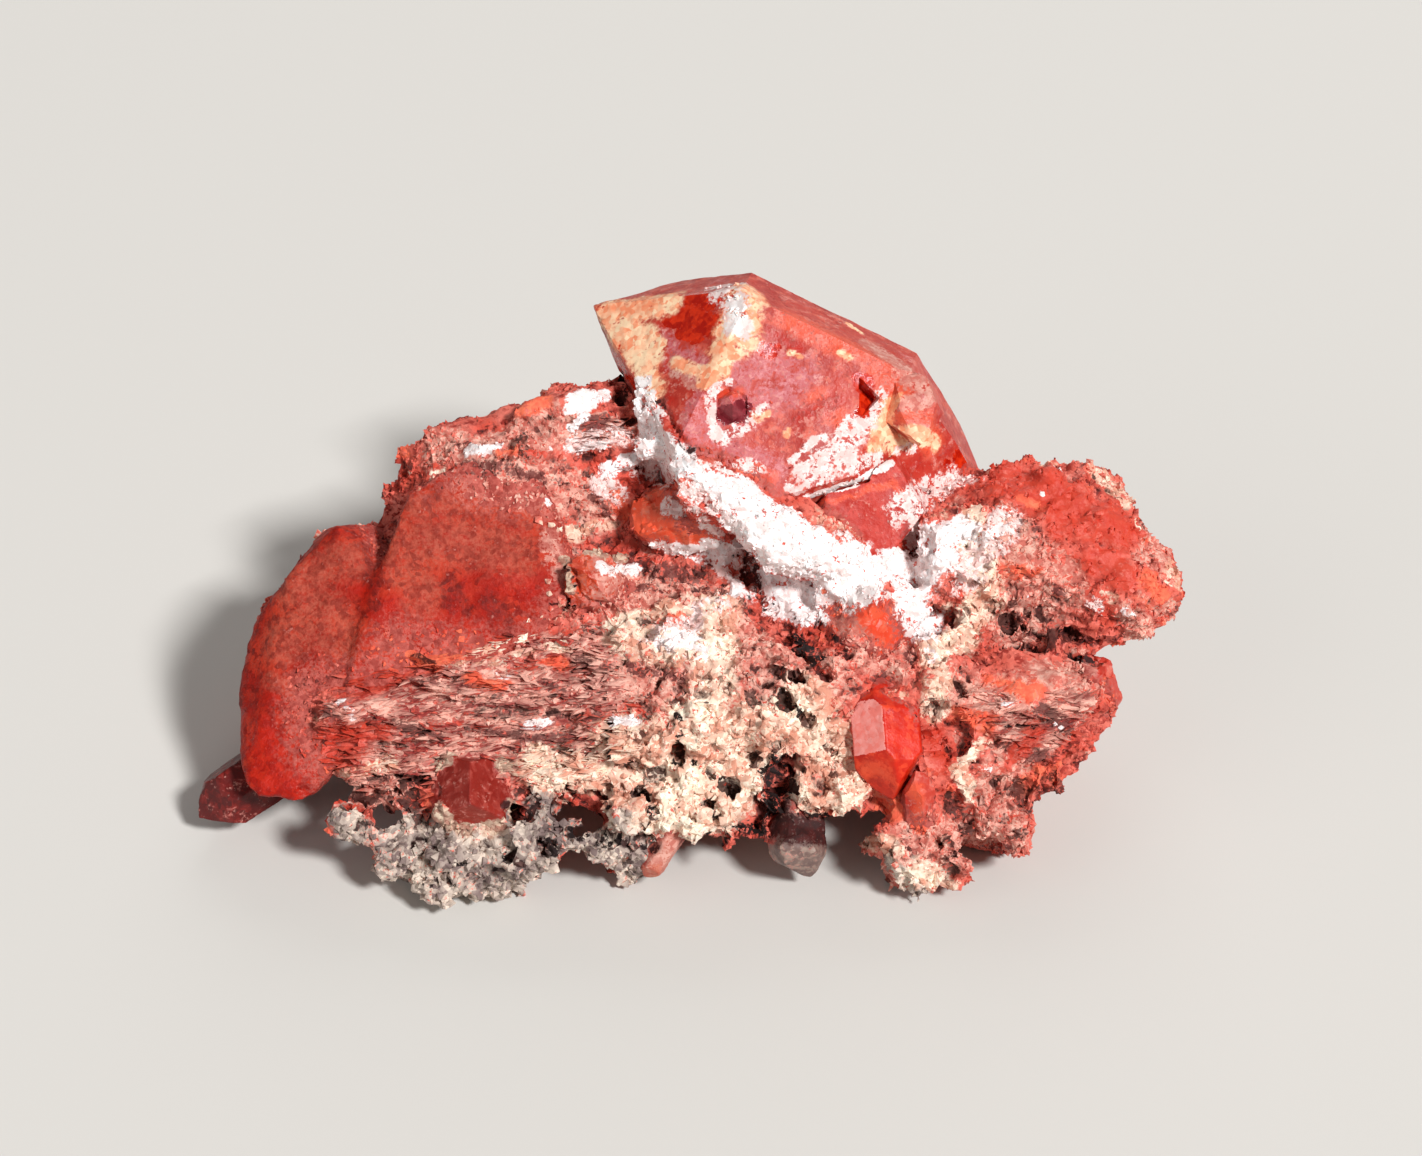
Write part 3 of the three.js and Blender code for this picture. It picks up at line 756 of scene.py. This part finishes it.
# Writes the paints on a mesh, with borders that wander.
def paintStone(mesh, names, wild):
    places = asArray(mesh.vertices, "co")
    far, size = paintLook["wander"]
    wander = np.array([noise.noise_vector(Vector(p)) for p in (places / (size * mm)).tolist()])
    paint = weights(places + wander.astype(np.float32) * far * mm, wild)
    for name in names:
        writePaint(mesh, name, paint[name])


# The rock's leaves lie nearly level, rise a little to the right, and are long for their thickness.
leafLook = {"lean": -12, "rise": -6, "length": 7}
leafTurn = Euler((math.radians(leafLook["lean"]), math.radians(leafLook["rise"]), 0))
leafScale = (leafLook["length"], leafLook["length"], 1)


def leafStretch():
    return np.array((Matrix.Diagonal(leafScale).inverted() @ leafTurn.to_matrix().transposed()).transposed())


# A layer of stone: the paint that says where it lies, its two tones, where its edge is cut and how softly,
# how strong it gets, how rough it is, what frays its edge, and the cloud that mixes its tones.
def layer(paint, first, second, cut=0.5, soft=0.1, most=1.0, rough=0.75, edge="grained", by="middle"):
    return {
        "paint": paint, "tones": (linear(first), linear(second)), "cut": cut, "soft": soft, "most": most,
        "rough": rough, "edge": edge, "by": by,
    }


# A stone in layers: a ground of three tones, then each layer where it is painted, with ragged edges.
def layeredStone(name, look):
    material = bpy.data.materials.new(name)
    material.use_nodes = True
    tree = material.node_tree
    tree.nodes.clear()
    place = addNode(tree, "ShaderNodeTexCoord").outputs["Object"]
    lying = addNode(tree, "ShaderNodeMapping", {
        "vector_type": "TEXTURE", "Rotation": leafTurn, "Scale": leafScale,
    }, {"Vector": place})
    clouds = {key: addNode(tree, "ShaderNodeTexNoise", {
        "Scale": 1 / (look[key] * mm), "Detail": 5.0, "Roughness": 0.62,
    }, {"Vector": place}) for key in ("broad", "middle", "fine")}
    clouds["streak"] = addNode(tree, "ShaderNodeTexNoise", {
        "Scale": 1 / (look["streak"] * mm), "Detail": 4.0, "Roughness": 0.6,
    }, {"Vector": lying})
    if look.get("single"):  # one tone to a grain
        speck = addNode(tree, "ShaderNodeAttribute", {"attribute_name": "tint"}).outputs["Fac"]
    else:
        cells = addNode(tree, "ShaderNodeTexVoronoi", {"Scale": 1 / (look["grain"] * mm)}, {"Vector": place})
        speck = addNode(tree, "ShaderNodeSeparateColor", links={0: cells.outputs["Color"]})
    # clouds that single grains stand out of
    specked = {key: addNode(tree, "ShaderNodeMath", {
        "operation": "MULTIPLY_ADD", 1: 0.3,
    }, {0: speck, 2: cloud}) for key, cloud in clouds.items()}
    tone = addNode(tree, "ShaderNodeMapRange", {"From Min": 0.4, "From Max": 0.6}, {"Value": clouds["broad"]})
    first, second, stain = [linear(shade) for shade in look["ground"]]
    colour = addNode(tree, "ShaderNodeMix", {"data_type": "RGBA", "A": first, "B": second}, {"Factor": tone})
    stained = addNode(tree, "ShaderNodeMapRange", {"From Min": 0.62, "From Max": 0.82}, {
        "Value": specked["middle"],
    })
    colour = addNode(tree, "ShaderNodeMix", {"data_type": "RGBA", "B": stain}, {
        "Factor": stained, "A": colour,
    })
    least, most = look["rough"]
    rough = addNode(tree, "ShaderNodeMapRange", {"To Min": least, "To Max": most}, {"Value": speck})
    # noise and single grains break a layer's edge, or noise alone where it is wispy
    wisps = addNode(tree, "ShaderNodeMath", {"operation": "MULTIPLY_ADD", 1: 2.4, 2: -1.8}, {
        0: clouds["fine"],
    })
    grains = addNode(tree, "ShaderNodeMath", {
        "operation": "MULTIPLY_ADD", 1: look["grainy"], 2: 1 - (look["ragged"] + look["grainy"]) / 2,
    }, {0: speck})
    frayed = {
        "wispy": addNode(tree, "ShaderNodeMath", {"operation": "MULTIPLY_ADD", 1: 3.2}, {
            0: clouds["middle"], 2: wisps,
        }),
        "grained": addNode(tree, "ShaderNodeMath", {"operation": "MULTIPLY_ADD", 1: look["ragged"]}, {
            0: clouds["fine"], 2: grains,
        }),
    }
    for coat in look["layers"]:
        weight = addNode(tree, "ShaderNodeAttribute", {"attribute_name": coat["paint"]}).outputs["Fac"]
        edge = frayed[coat["edge"]]
        level = addNode(tree, "ShaderNodeMath", {"operation": "MULTIPLY"}, {0: weight, 1: edge})
        level = addNode(tree, "ShaderNodeMapRange", {
            "interpolation_type": "SMOOTHSTEP", "From Min": coat["cut"] - coat["soft"],
            "From Max": coat["cut"] + coat["soft"], "To Max": coat["most"],
        }, {"Value": level})
        tone = addNode(tree, "ShaderNodeMapRange", {"From Min": 0.5, "From Max": 0.8}, {
            "Value": specked[coat["by"]],
        })
        first, second = coat["tones"]
        own = addNode(tree, "ShaderNodeMix", {"data_type": "RGBA", "A": first, "B": second}, {"Factor": tone})
        colour = addNode(tree, "ShaderNodeMix", {"data_type": "RGBA"}, {
            "Factor": level, "A": colour, "B": own,
        })
        rough = addNode(tree, "ShaderNodeMix", {"B": coat["rough"]}, {"Factor": level, "A": rough})
    rise = addNode(tree, "ShaderNodeMath", {"operation": "MULTIPLY_ADD", 1: 0.5}, {
        0: clouds["fine"], 2: clouds["middle"],
    })
    bump = addNode(tree, "ShaderNodeBump", {"Strength": look["bump"], "Distance": look["fine"] * mm}, {
        "Height": rise,
    })
    shader = addNode(tree, "ShaderNodeBsdfPrincipled", {
        "IOR": look["ior"],
        "Specular IOR Level": look["specular"],
        "Transmission Weight": look["clear"],
    }, {"Base Color": colour, "Roughness": rough, "Normal": bump})
    addNode(tree, "ShaderNodeOutputMaterial", links={"Surface": shader})
    return material


frost = layer("frost", "#f8ece8", "#eac4be", cut=0.8, soft=0.2, rough=0.6, edge="wispy")

# Quartz stained by iron: flat faces, a little see-through, glossy where no coat covers them. Its pits,
# recesses and shaded faces carry painted shade, and one prism face carries painted light.
quartzFinish = {
    "broad": 3.2, "middle": 0.9, "fine": 0.24, "grain": 0.4, "streak": 0.5,
    "rough": (0.36, 0.5), "bump": 0.28, "ior": 1.54, "specular": 0.3, "clear": 0.1,
    "ragged": 2.8, "grainy": 0.5,
    "layers": [
        layer("film", "#dc8c92", "#b85c68", cut=0.85, soft=0.35, most=0.7, rough=0.5, edge="wispy"),
        # painted light: the prism face turned one way is painted pale pink, as if lit
        layer("pale", "#fda8a0", "#f4857b", soft=0.3, most=0.9, rough=0.3, edge="wispy"),
        layer("orange", "#f0603c", "#e04c2c", soft=0.4, most=0.7, rough=0.35),
        layer("glow", "#bc1e0c", "#a01408", soft=0.45, most=0.85, rough=0.35),
        layer("dust", "#bc6450", "#983e30", cut=0.7, soft=0.6, most=0.65, rough=0.6),
        # dark red-brown, and painted shade where its strokes lie in shade
        layer("umberAndShade", "#7a1d18", "#5c1512", cut=0.6, soft=0.5, most=0.65, rough=0.4),
        layer("flecks", "#f4b8a8", "#e08c80", cut=1.3, soft=0.25, most=0.65, edge="wispy"),
        layer("flecks", "#962a22", "#741a16", cut=1.35, soft=0.3, most=0.6),
        # deep bare red, and painted shade where its strokes lie on faces in shade
        layer("window", "#d83212", "#a81404", cut=0.4, soft=0.08, rough=0.12),
        layer("wine", "#8e343c", "#722028", cut=0.4, rough=0.15),
        layer("mottle", "#e8b4a4", "#bf6a5e", cut=0.7, soft=0.25, most=0.8, rough=0.7),
        layer("join", "#c4655a", "#9c4038", cut=0.55, soft=0.25, rough=0.7),
        layer("coat", "#ffdcb4", "#f8946a", cut=0.45, soft=0.3, rough=0.6, edge="wispy", by="broad"),
        frost,
        layer("crust", "#fbf6f4", "#ecdad6", cut=0.4, soft=0.12, rough=0.6, edge="wispy"),
        layer("overgrown", "#d8c0a8", "#a87868", cut=0.4, soft=0.15, rough=0.8),
        # painted shadow: pits and cracks on the crystals painted near-black
        layer("pit", "#4a100c", "#300a08", soft=0.25),
    ],
}

# What a crystal has unless its own look says otherwise.
usualCrystal = {"cells": 5, "flecks": 0.85, "join": 0.5, "broken": (0, 1.3), "wild": {}, "finish": {}}
crystals = {
    "large_crystal": {
        "slot": "large_crystal", "cells": 7, "flecks": 0.93, "ground": ("#c23c2e", "#ac2c22", "#d65e4c"),
        "wild": {"film": (3.0, 0.0, 0.5, 0.7), "glow": (5.0, 0.1, 0.5, 0.6)},
    },
    "left_crystal": {
        "slot": "left_crystal", "flecks": 0.7, "join": 2.2, "ground": ("#9e180a", "#bc341e", "#80140a"),
        "voxel": 0.36, "round": 16, "swell": (0.28, 4.5), "lump": (0.1, 0.9),
        "wild": {"glow": (4.0, 0.0, 0.4, 0.7), "umberAndShade": (2.2, 0.1, 0.5, 0.6)},
        "finish": {"clear": 0.04, "rough": (0.5, 0.65), "bump": 0.8, "middle": 0.7, "specular": 0.12},
    },
    "lower_crystal": {"cells": 6, "ground": ("#be3024", "#b2281c", "#cc443a"), "finish": {"specular": 0.15}},
    "prism_crystal": {
        "cells": 6, "flecks": 0.5, "ground": ("#d42408", "#b81806", "#e04020"), "finish": {"specular": 0.25},
        # painted light: the face turned this way is painted pale pink, lighter than its other faces
        "pale": (-0.6, -0.51, 0.61),  # the way its pale face looks
    },
    "pyramid_crystal": {"cells": 6, "join": 0.3, "ground": ("#96291f", "#841d15", "#a43c32")},
    "corner_crystal": {"ground": ("#6a0e0a", "#520805", "#7c1a14")},
    "side_crystal": {"join": 0.8, "broken": (0.2, 1.3), "ground": ("#c43a2a", "#b43024", "#d66250")},
    "ledge_crystal": {"join": 1.2, "broken": (0.3, 1.3), "ground": ("#cc4424", "#b83418", "#dc6444")},
    "centre_crystal": {"join": 1.6, "broken": (0.25, 1.3), "ground": ("#e65a38", "#de4828", "#ea7454")},
    "crust_crystal": {"join": 1.2, "broken": (0.2, 1.3), "ground": ("#e85234", "#e04224", "#ee6a4c")},
    "spike_crystal": {"join": 0.8, "ground": ("#cc4434", "#bc3424", "#d86454")},
    "pebble_crystal": {"ground": ("#846860", "#68504c", "#9c8478")},
    "shard_crystal": {"join": 0.4, "ground": ("#c66450", "#b45440", "#d28068")},
}
# Heights in mm, with feature sizes and level values where they have one.
crystalRelief = {
    "bevel": 0.12, "sway": (0.1, 3.5), "step": (0.03, 1.8, 0.5), "coat": 0.05, "grit": (0.08, 0.5),
    "join": (0.35, 0.8), "grown": (0.3, 0.7), "pit": 0.5,
}
quartzPaints = [coat["paint"] for coat in quartzFinish["layers"] if coat["paint"] in strokes]


# How close each place is to the rock: 1 at the rock, 0 at twice the width of the join, in mm.
def nearRock(places, width):
    near = np.zeros(len(places), np.float32)
    for number, place in enumerate(places.tolist()):
        gap = bareRock.find_nearest(place, 2 * width * mm)[3]
        if gap is not None:
            near[number] = 1 - gap / (2 * width * mm)
    return near


def crystalHeight(places, look, join, paint):
    cover = np.clip(1.2 * np.maximum(paint["coat"], paint["crust"]), 0, 1)
    height = relief(places, "cloud", crystalRelief["sway"])
    if "swell" in look:
        height += relief(places, "cloud", look["swell"]) + relief(places, "cloud", look["lump"])
    height += relief(places, "facet", look["broken"])
    height -= relief(places, "cell", crystalRelief["step"]) * (1 - cover)
    height += cover * (crystalRelief["coat"] + relief(places, "cloud", crystalRelief["grit"]))
    most, size = crystalRelief["join"]
    height += most * np.clip(join * 1.6 - 0.6, 0, 1) * sampled(places, "cloud", size)
    most, size = crystalRelief["grown"]
    height += most * paint["overgrown"] * (0.7 + sampled(places, "cloud", size))
    height -= crystalRelief["pit"] * paint["pit"] * (1 - join)
    return height


def dressCrystal(node, own):
    look = {**usualCrystal, **own}
    name = node.split("_")[0] + "Quartz"
    piece = copyOf(node, name)
    shaped(piece, "BEVEL", width=crystalRelief["bevel"] * mm, segments=2, limit_method="ANGLE",
           angle_limit=math.radians(20))
    if "voxel" in look:
        shaped(piece, "REMESH", mode="VOXEL", voxel_size=look["voxel"] * mm)
        shaped(piece, "SMOOTH", factor=0.5, iterations=look["round"])
    else:
        shaped(piece, "REMESH", mode="SHARP", octree_depth=look["cells"], scale=0.95,
               use_remove_disconnected=False)
    shaped(piece, "TRIANGULATE")
    mesh = piece.data
    places = asArray(mesh.vertices, "co")
    out = asArray(mesh.vertex_normals, "vector")
    join = nearRock(places, look["join"])
    raiseBy(mesh, crystalHeight(places, look, join, weights(places, look["wild"])))
    paintStone(mesh, quartzPaints, look["wild"])
    # painted light: the face turned the given way is painted pale, as if lit
    if "pale" in look:
        writePaint(mesh, "pale", 1.6 * eased(out @ np.array(look["pale"]), 0.95, 0.98))
    writePaint(mesh, "flecks", np.full(len(places), look["flecks"]))
    writePaint(mesh, "join", join)
    mesh.shade_smooth()
    mesh.set_sharp_from_angle(angle=math.radians(32))
    mesh.materials.append(layeredStone(name, {**quartzFinish, "ground": look["ground"], **look["finish"]}))
    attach(piece, "root")
    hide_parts(node)
    print("crystal:", node, len(mesh.polygons), "faces")
    return piece


dressed = [dressCrystal(node, look) for node, look in crystals.items()]
quartz = facesOf(dressed)


# How far each place is from the crystals, in mm, and the nearest place on them.
def toCrystals(places, farthest=2.5):
    reach = np.full(len(places), farthest, np.float32)
    nearest = places.copy()
    for number, place in enumerate(places.tolist()):
        spot, _, _, gap = quartz.find_nearest(place, farthest * mm)
        if spot is not None:
            reach[number], nearest[number] = gap / mm, spot
    return reach, nearest


# Lengths are in mm.
rockLook = {
    "coarse": 0.5,  # the mesh that nodules are strewn on
    "nodules": {"seed": 11, "count": 0.7, "size": (0.5, 1.2), "uneven": 0.3, "rounded": True},
    "clear": (0.9, 1.6),  # how far nodules keep from the crystals
    "voxel": 0.26,
    "melt": 3,  # rounds of smoothing that melt the lumps together
    "seat": 0.06,  # how deep the rock's sockets press into the crystals
    "seated": (0.55, 1.2),  # how near the crystals the sockets close
    "still": (0.45, 1.3),  # how near the crystals the relief fades
    # heights, feature sizes and level values
    "swell": (0.5, 5.0),
    "crag": (0.3, 2.4, 1.1),
    "facet": (0.5, 2.2),
    "chip": (0.22, 0.95),
    "lump": (1.0, 1.5, 0.38),
    "nodule": (0.4, 0.8, 0.4),
    "leaf": (0.6, 0.75, 1.1),
    "seam": (0.6, 4.2),
    "seamWidth": 0.06,  # of the cells' own size
    "seamPatches": (6, 0, 0.3),  # the size of the areas with seams, and the noise where they start and fill
    "grit": (0.14, 0.45),
    "pit": 1.15,
    "crust": 0.2,
    "deepest": -0.75,
    "triangles": 196000,
    "thin": {"side": 0.62, "facing": 0.5, "least": 0.12, "steps": 10},
    "spare": 0.3,  # how far it may stand out of the solids' box
}


# Nodules crowd on the cream and grey parts before the whole is melted into one skin.
def meltRock():
    rock = copyOf("matrix", "rock")
    bare = rock.data.copy()
    shaped(rock, "REMESH", mode="VOXEL", voxel_size=rockLook["coarse"] * mm)
    mesh = rock.data
    places = asArray(mesh.vertices, "co")
    grain = np.maximum(painted(places, laid["cream"]), painted(places, laid["grey"]))
    away = eased(toCrystals(places)[0], *rockLook["clear"])
    writePaint(mesh, "strewn", grain * away * (1 - painted(places, laid["pit"])))
    nodules = strewn(mesh, "nodules", rockLook["nodules"])
    print("nodules:", len(nodules.data.polygons) // 20)
    rock.data = joined("rock", [bare, nodules.data])
    bpy.data.objects.remove(nodules)
    shaped(rock, "REMESH", mode="VOXEL", voxel_size=rockLook["voxel"] * mm)
    shaped(rock, "SMOOTH", factor=0.5, iterations=rockLook["melt"])
    return rock


# The sockets close on their crystals. Returns how free each place is to move, from 0 at a crystal to 1.
def closeSeams(mesh):
    places = asArray(mesh.vertices, "co")
    reach, nearest = toCrystals(places)
    out = nearest - places
    out /= np.maximum(np.linalg.norm(out, axis=1), 1e-9)[:, None]
    pull = (1 - eased(reach, *rockLook["seated"]))[:, None]
    moveTo(mesh, places + pull * (nearest + out * rockLook["seat"] * mm - places))
    return eased(reach, *rockLook["still"])


# Broad relief first, then the fine one along the new normals. Calm parts and the joints take little of it.
def roughen(mesh):
    free = closeSeams(mesh)
    places = asArray(mesh.vertices, "co")
    paint = weights(places, wildRock)
    calm = np.maximum(paint["calm"], paint["glow"] * 0.5)
    grain = np.clip(np.maximum(paint["cream"], paint["grey"]) * 1.3, 0, 1)
    leaf = np.clip(paint["leaf"] * 1.3, 0, 1)
    busy = (1 - 0.85 * calm) * free
    height = relief(places, "cloud", rockLook["swell"]) * free
    height += relief(places, "ridge", rockLook["crag"]) * busy * (1 - leaf)
    height += relief(places, "facet", rockLook["facet"]) * busy * (1 - 0.7 * leaf) * (1 - 0.5 * grain)
    height -= relief(places, "cell", rockLook["lump"]) * busy * grain * (1 - 0.8 * leaf)
    height += relief(places, "ridge", rockLook["leaf"], leafStretch()) * leaf * free
    depth, size = rockLook["seam"]
    seam = np.exp(-((sampled(places, "seam", size) / rockLook["seamWidth"]) ** 2))
    size, low, high = rockLook["seamPatches"]
    seam *= eased(sampled(places + 0.02, "cloud", size), low, high)
    height -= depth * seam * busy
    height = np.maximum(height, rockLook["deepest"]) * (1 - 0.25 * paint["crust"])
    height += rockLook["crust"] * paint["crust"] - rockLook["pit"] * paint["pit"]
    raiseBy(mesh, height)
    places = asArray(mesh.vertices, "co")
    height = relief(places, "facet", rockLook["chip"]) * busy * (1 - grain) * (1 - 0.5 * leaf)
    height -= relief(places, "cell", rockLook["nodule"]) * grain * busy * (1 - 0.6 * leaf)
    height += relief(places, "cloud", rockLook["grit"]) * (0.15 + 0.85 * busy)
    raiseBy(mesh, height)


def keepInside(mesh):
    spare = rockLook["spare"] * mm
    low, high = np.array(cadBox[0]) - spare, np.array(cadBox[1]) + spare
    low[2] = 0
    moveTo(mesh, np.clip(asArray(mesh.vertices, "co"), low, high))


# The back and the underside lose more faces than the front.
def thinOut(rock):
    mesh = rock.data
    mesh.calc_loop_triangles()
    count = len(mesh.loop_triangles)
    thin = rockLook["thin"]
    facing = asArray(mesh.vertex_normals, "vector") @ toCamera
    share = np.clip(thin["side"] - thin["facing"] * facing, thin["least"], 1)
    group = rock.vertex_groups.new(name="thin")
    for level in range(1, thin["steps"] + 1):
        chosen = np.nonzero(np.round(share * thin["steps"]) == level)[0]
        group.add(chosen.tolist(), level / thin["steps"], "REPLACE")
    ratio = min(1, rockLook["triangles"] / count)
    print("rock before thinning:", count, "triangles")
    shaped(rock, "DECIMATE", ratio=ratio, vertex_group="thin", use_collapse_triangulate=True)
    rock.vertex_groups.clear()


# Leaves only the largest connected body.
def dropCrumbs(mesh):
    bm = bmesh.new()
    bm.from_mesh(mesh)
    left, bodies = set(bm.verts), []
    while left:
        body = [left.pop()]
        for vertex in body:
            near = {edge.other_vert(vertex) for edge in vertex.link_edges} & left
            left -= near
            body += near
        bodies.append(body)
    bodies.sort(key=len)
    for crumb in bodies[:-1]:
        bmesh.ops.delete(bm, geom=crumb, context="VERTS")
    bm.to_mesh(mesh)
    bm.free()
    print("crumbs dropped:", len(bodies) - 1)


# How far each vertex lies under the average of those around it, in mm.
def hollows(mesh, rounds=6):
    edges = asArray(mesh.edges, "vertices", 2).astype(int)
    places = asArray(mesh.vertices, "co")
    out = asArray(mesh.vertex_normals, "vector")
    ends = np.bincount(edges.ravel(), minlength=len(places))[:, None]
    soft = places.copy()
    for _ in range(rounds):
        total = np.stack([
            np.bincount(edges[:, 0], soft[edges[:, 1], k], len(places))
            + np.bincount(edges[:, 1], soft[edges[:, 0], k], len(places))
            for k in range(3)
        ], 1)
        soft = total / np.maximum(ends, 1)
    return ((soft - places) * out).sum(1) / mm


# Iron-stained quartzite: rough, broken, pink to brick red, with white and cream crusts. Its hollows and
# cracks carry painted shade.
rockFinish = {
    "broad": 3.2, "middle": 0.8, "fine": 0.26, "grain": 0.42, "streak": 0.42,
    "ground": ("#cc4c3a", "#da7060", "#962e24"),
    "rough": (0.45, 0.85), "bump": 0.55, "ior": 1.5, "specular": 0.35, "clear": 0.0,
    "ragged": 2.8, "grainy": 0.9,
    "layers": [
        layer("mottle", "#ecc2b0", "#c46a5c", cut=0.6, soft=0.2, most=0.85),
        layer("leaf", "#8c2c2a", "#f4bcaa", soft=0.25, most=0.9, by="streak"),
        # dark red-brown, and painted shade where its strokes lie in shade
        layer("umberAndShade", "#74302c", "#54201f", cut=0.6, soft=0.2, most=0.85),
        layer("glow", "#c0301e", "#d0442e", soft=0.35, most=0.85, rough=0.45),
        layer("orange", "#f07a58", "#e25c42", soft=0.25),
        layer("grey", "#dccaba", "#7e6a66", cut=0.36, soft=0.2, by="broad"),
        layer("cream", "#feeed8", "#d4947c", cut=0.45, soft=0.2, by="broad"),
        layer("overgrown", "#d8c0a8", "#a87868", cut=0.3, soft=0.15),
        # painted shade: hollows darkened by how deep they lie
        layer("hollowShade", "#4a1410", "#260a08", cut=0.24, soft=0.16, most=0.9),
        layer("coat", "#fadcb8", "#f09c76", cut=0.3, soft=0.15),
        frost,
        layer("crust", "#ffffff", "#f0dad6", cut=0.46, soft=0.15, rough=0.55, edge="wispy"),
        # painted shadow: cracks, holes and caves painted near-black
        layer("pit", "#120404", "#1c0807", cut=0.45, soft=0.12),
    ],
}
rockPaints = [coat["paint"] for coat in rockFinish["layers"] if coat["paint"] in strokes]


def finishRock():
    rock = meltRock()
    print("rock melted:", len(rock.data.polygons), "faces")
    roughen(rock.data)
    thinOut(rock)
    mesh = rock.data
    dropCrumbs(mesh)
    keepInside(mesh)
    paintStone(mesh, rockPaints, wildRock)
    places = asArray(mesh.vertices, "co")
    calm, cream, grey = [painted(places, laid[name]) for name in ("calm", "cream", "grey")]
    lighter = np.maximum(calm, np.maximum(0.3 * cream, 0.1 * grey))
    # painted shade: the deeper a vertex lies below its neighbours, the darker it is painted; less on calm,
    # cream and grey parts
    writePaint(mesh, "hollowShade", hollows(mesh) * (1 - lighter))
    mesh.shade_smooth()
    mesh.set_sharp_from_angle(angle=math.radians(40))
    mesh.materials.append(layeredStone("ironStainedRock", rockFinish))
    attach(rock, "root")
    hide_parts("matrix")
    print("rock shaped:", len(mesh.polygons), "faces")
    return rock


rock = finishRock()

# Loose grains on the skin, most where their paint is strongest.
grainLooks = {
    "redGrains": {"seed": 21, "count": 4.2, "size": (0.1, 0.3), "uneven": 0.4, "squash": (1, 0.8, 0.5)},
    "paleGrains": {"seed": 31, "count": 1.9, "size": (0.16, 0.5), "uneven": 0.35, "squash": (1, 0.9, 0.7)},
    "crustGrains": {"seed": 41, "count": 3.0, "size": (0.08, 0.26), "uneven": 0.35, "squash": (1, 0.8, 0.4)},
    "leafPlates": {
        "seed": 61, "count": 5.0, "size": (0.25, 0.6), "uneven": 0.3, "squash": (1.7, 0.7, 0.16),
        "turn": leafTurn, "loose": (0.25, 0.2, 0.7),
    },
}

# The whole skin, rock first, and where on it grains may lie.
skin = joined("skin", [rock.data] + [piece.data for piece in dressed])
skinPlaces = asArray(skin.vertices, "co")
skinPaint = weights(skinPlaces, wildRock)
onRock = (np.arange(len(skinPlaces)) < len(rock.data.vertices)).astype(np.float32)
joins = [asArray(piece.data.attributes["join"].data, "value", 1)[:, 0] for piece in dressed]
rim = eased(np.concatenate([np.zeros(len(rock.data.vertices)), *joins]), 0.35, 0.75)
spread = np.maximum(np.maximum(onRock, rim), eased(skinPaint["overgrown"], 0.4, 0.7))
pale = np.clip(1.5 * np.max([skinPaint[name] for name in ("cream", "grey", "overgrown")], axis=0), 0, 1)
fewer = 0.25 + 0.75 * eased(asArray(skin.vertex_normals, "vector") @ toCamera, -0.3, 0.3)


def strewGrains(name, weight):
    surface = skin.copy()
    writePaint(surface, "strewn", np.clip(weight * (1 - skinPaint["pit"]), 0, 1) * fewer)
    grains = strewn(surface, name, grainLooks[name])
    mesh = grains.data
    keepInside(mesh)
    paintStone(mesh, rockPaints, wildRock)
    mesh.materials.clear()
    mesh.materials.append(layeredStone(name + "Finish", {**rockFinish, "single": True}))
    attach(grains, "root")
    print(name + ":", len(mesh.polygons), "faces")


strewGrains("redGrains", spread * (1 - pale) * (1 - skinPaint["crust"]) * (1 - skinPaint["calm"])
            * (1 - 0.6 * skinPaint["glow"]) * (1 - 0.6 * skinPaint["leaf"]))
strewGrains("paleGrains", spread * pale)
strewGrains("crustGrains", np.maximum(eased(skinPaint["crust"], 0.3, 0.7), 0.25 * skinPaint["frost"]))
strewGrains("leafPlates", spread * skinPaint["leaf"])

# A pale floor and soft studio lamps, placed in metres.
stageLook = {
    "floor": {"colour": "#cfccc7", "reach": 1.5, "rough": 0.9, "specular": 0.1},
    "lamps": {
        "key": {"at": (1.98, -2.24, 2.84), "size": 0.6, "watts": 216.0},
        "fill": {"at": (-0.80, -0.50, 0.45), "size": 0.8, "watts": 2.0},
        "back": {"at": (0.15, 0.80, 0.62), "size": 0.6, "watts": 2.4},
    },
    "room": {"colour": "#f4f2ef", "strength": 0.18},
}


def lightAt(name, look):
    data = bpy.data.lights.new(name, "AREA")
    data.size, data.energy = look["size"], look["watts"]
    light = newObject(name, data)
    light.location = look["at"]
    toward = Vector(view["lookAt"]) * mm - light.location
    light.rotation_euler = toward.to_track_quat("-Z", "Y").to_euler()


def makeFloor(look):
    bm = bmesh.new()
    bmesh.ops.create_grid(bm, x_segments=1, y_segments=1, size=look["reach"])
    floor = newObject("floor", meshOf(bm, "floor"))
    material = bpy.data.materials.new("paleFloor")
    material.use_nodes = True
    shader = material.node_tree.nodes["Principled BSDF"]
    shader.inputs["Base Color"].default_value = linear(look["colour"])
    shader.inputs["Roughness"].default_value = look["rough"]
    shader.inputs["Specular IOR Level"].default_value = look["specular"]
    floor.data.materials.append(material)


def lightRoom(look):
    world = bpy.data.worlds.new("room")
    world.use_nodes = True
    background = world.node_tree.nodes["Background"]
    background.inputs["Color"].default_value = linear(look["colour"])
    background.inputs["Strength"].default_value = look["strength"]
    bpy.context.scene.world = world
    bpy.context.scene.view_settings.view_transform = "Standard"


makeFloor(stageLook["floor"])
lightRoom(stageLook["room"])
for name, look in stageLook["lamps"].items():
    lightAt(name, look)
print("stage set")
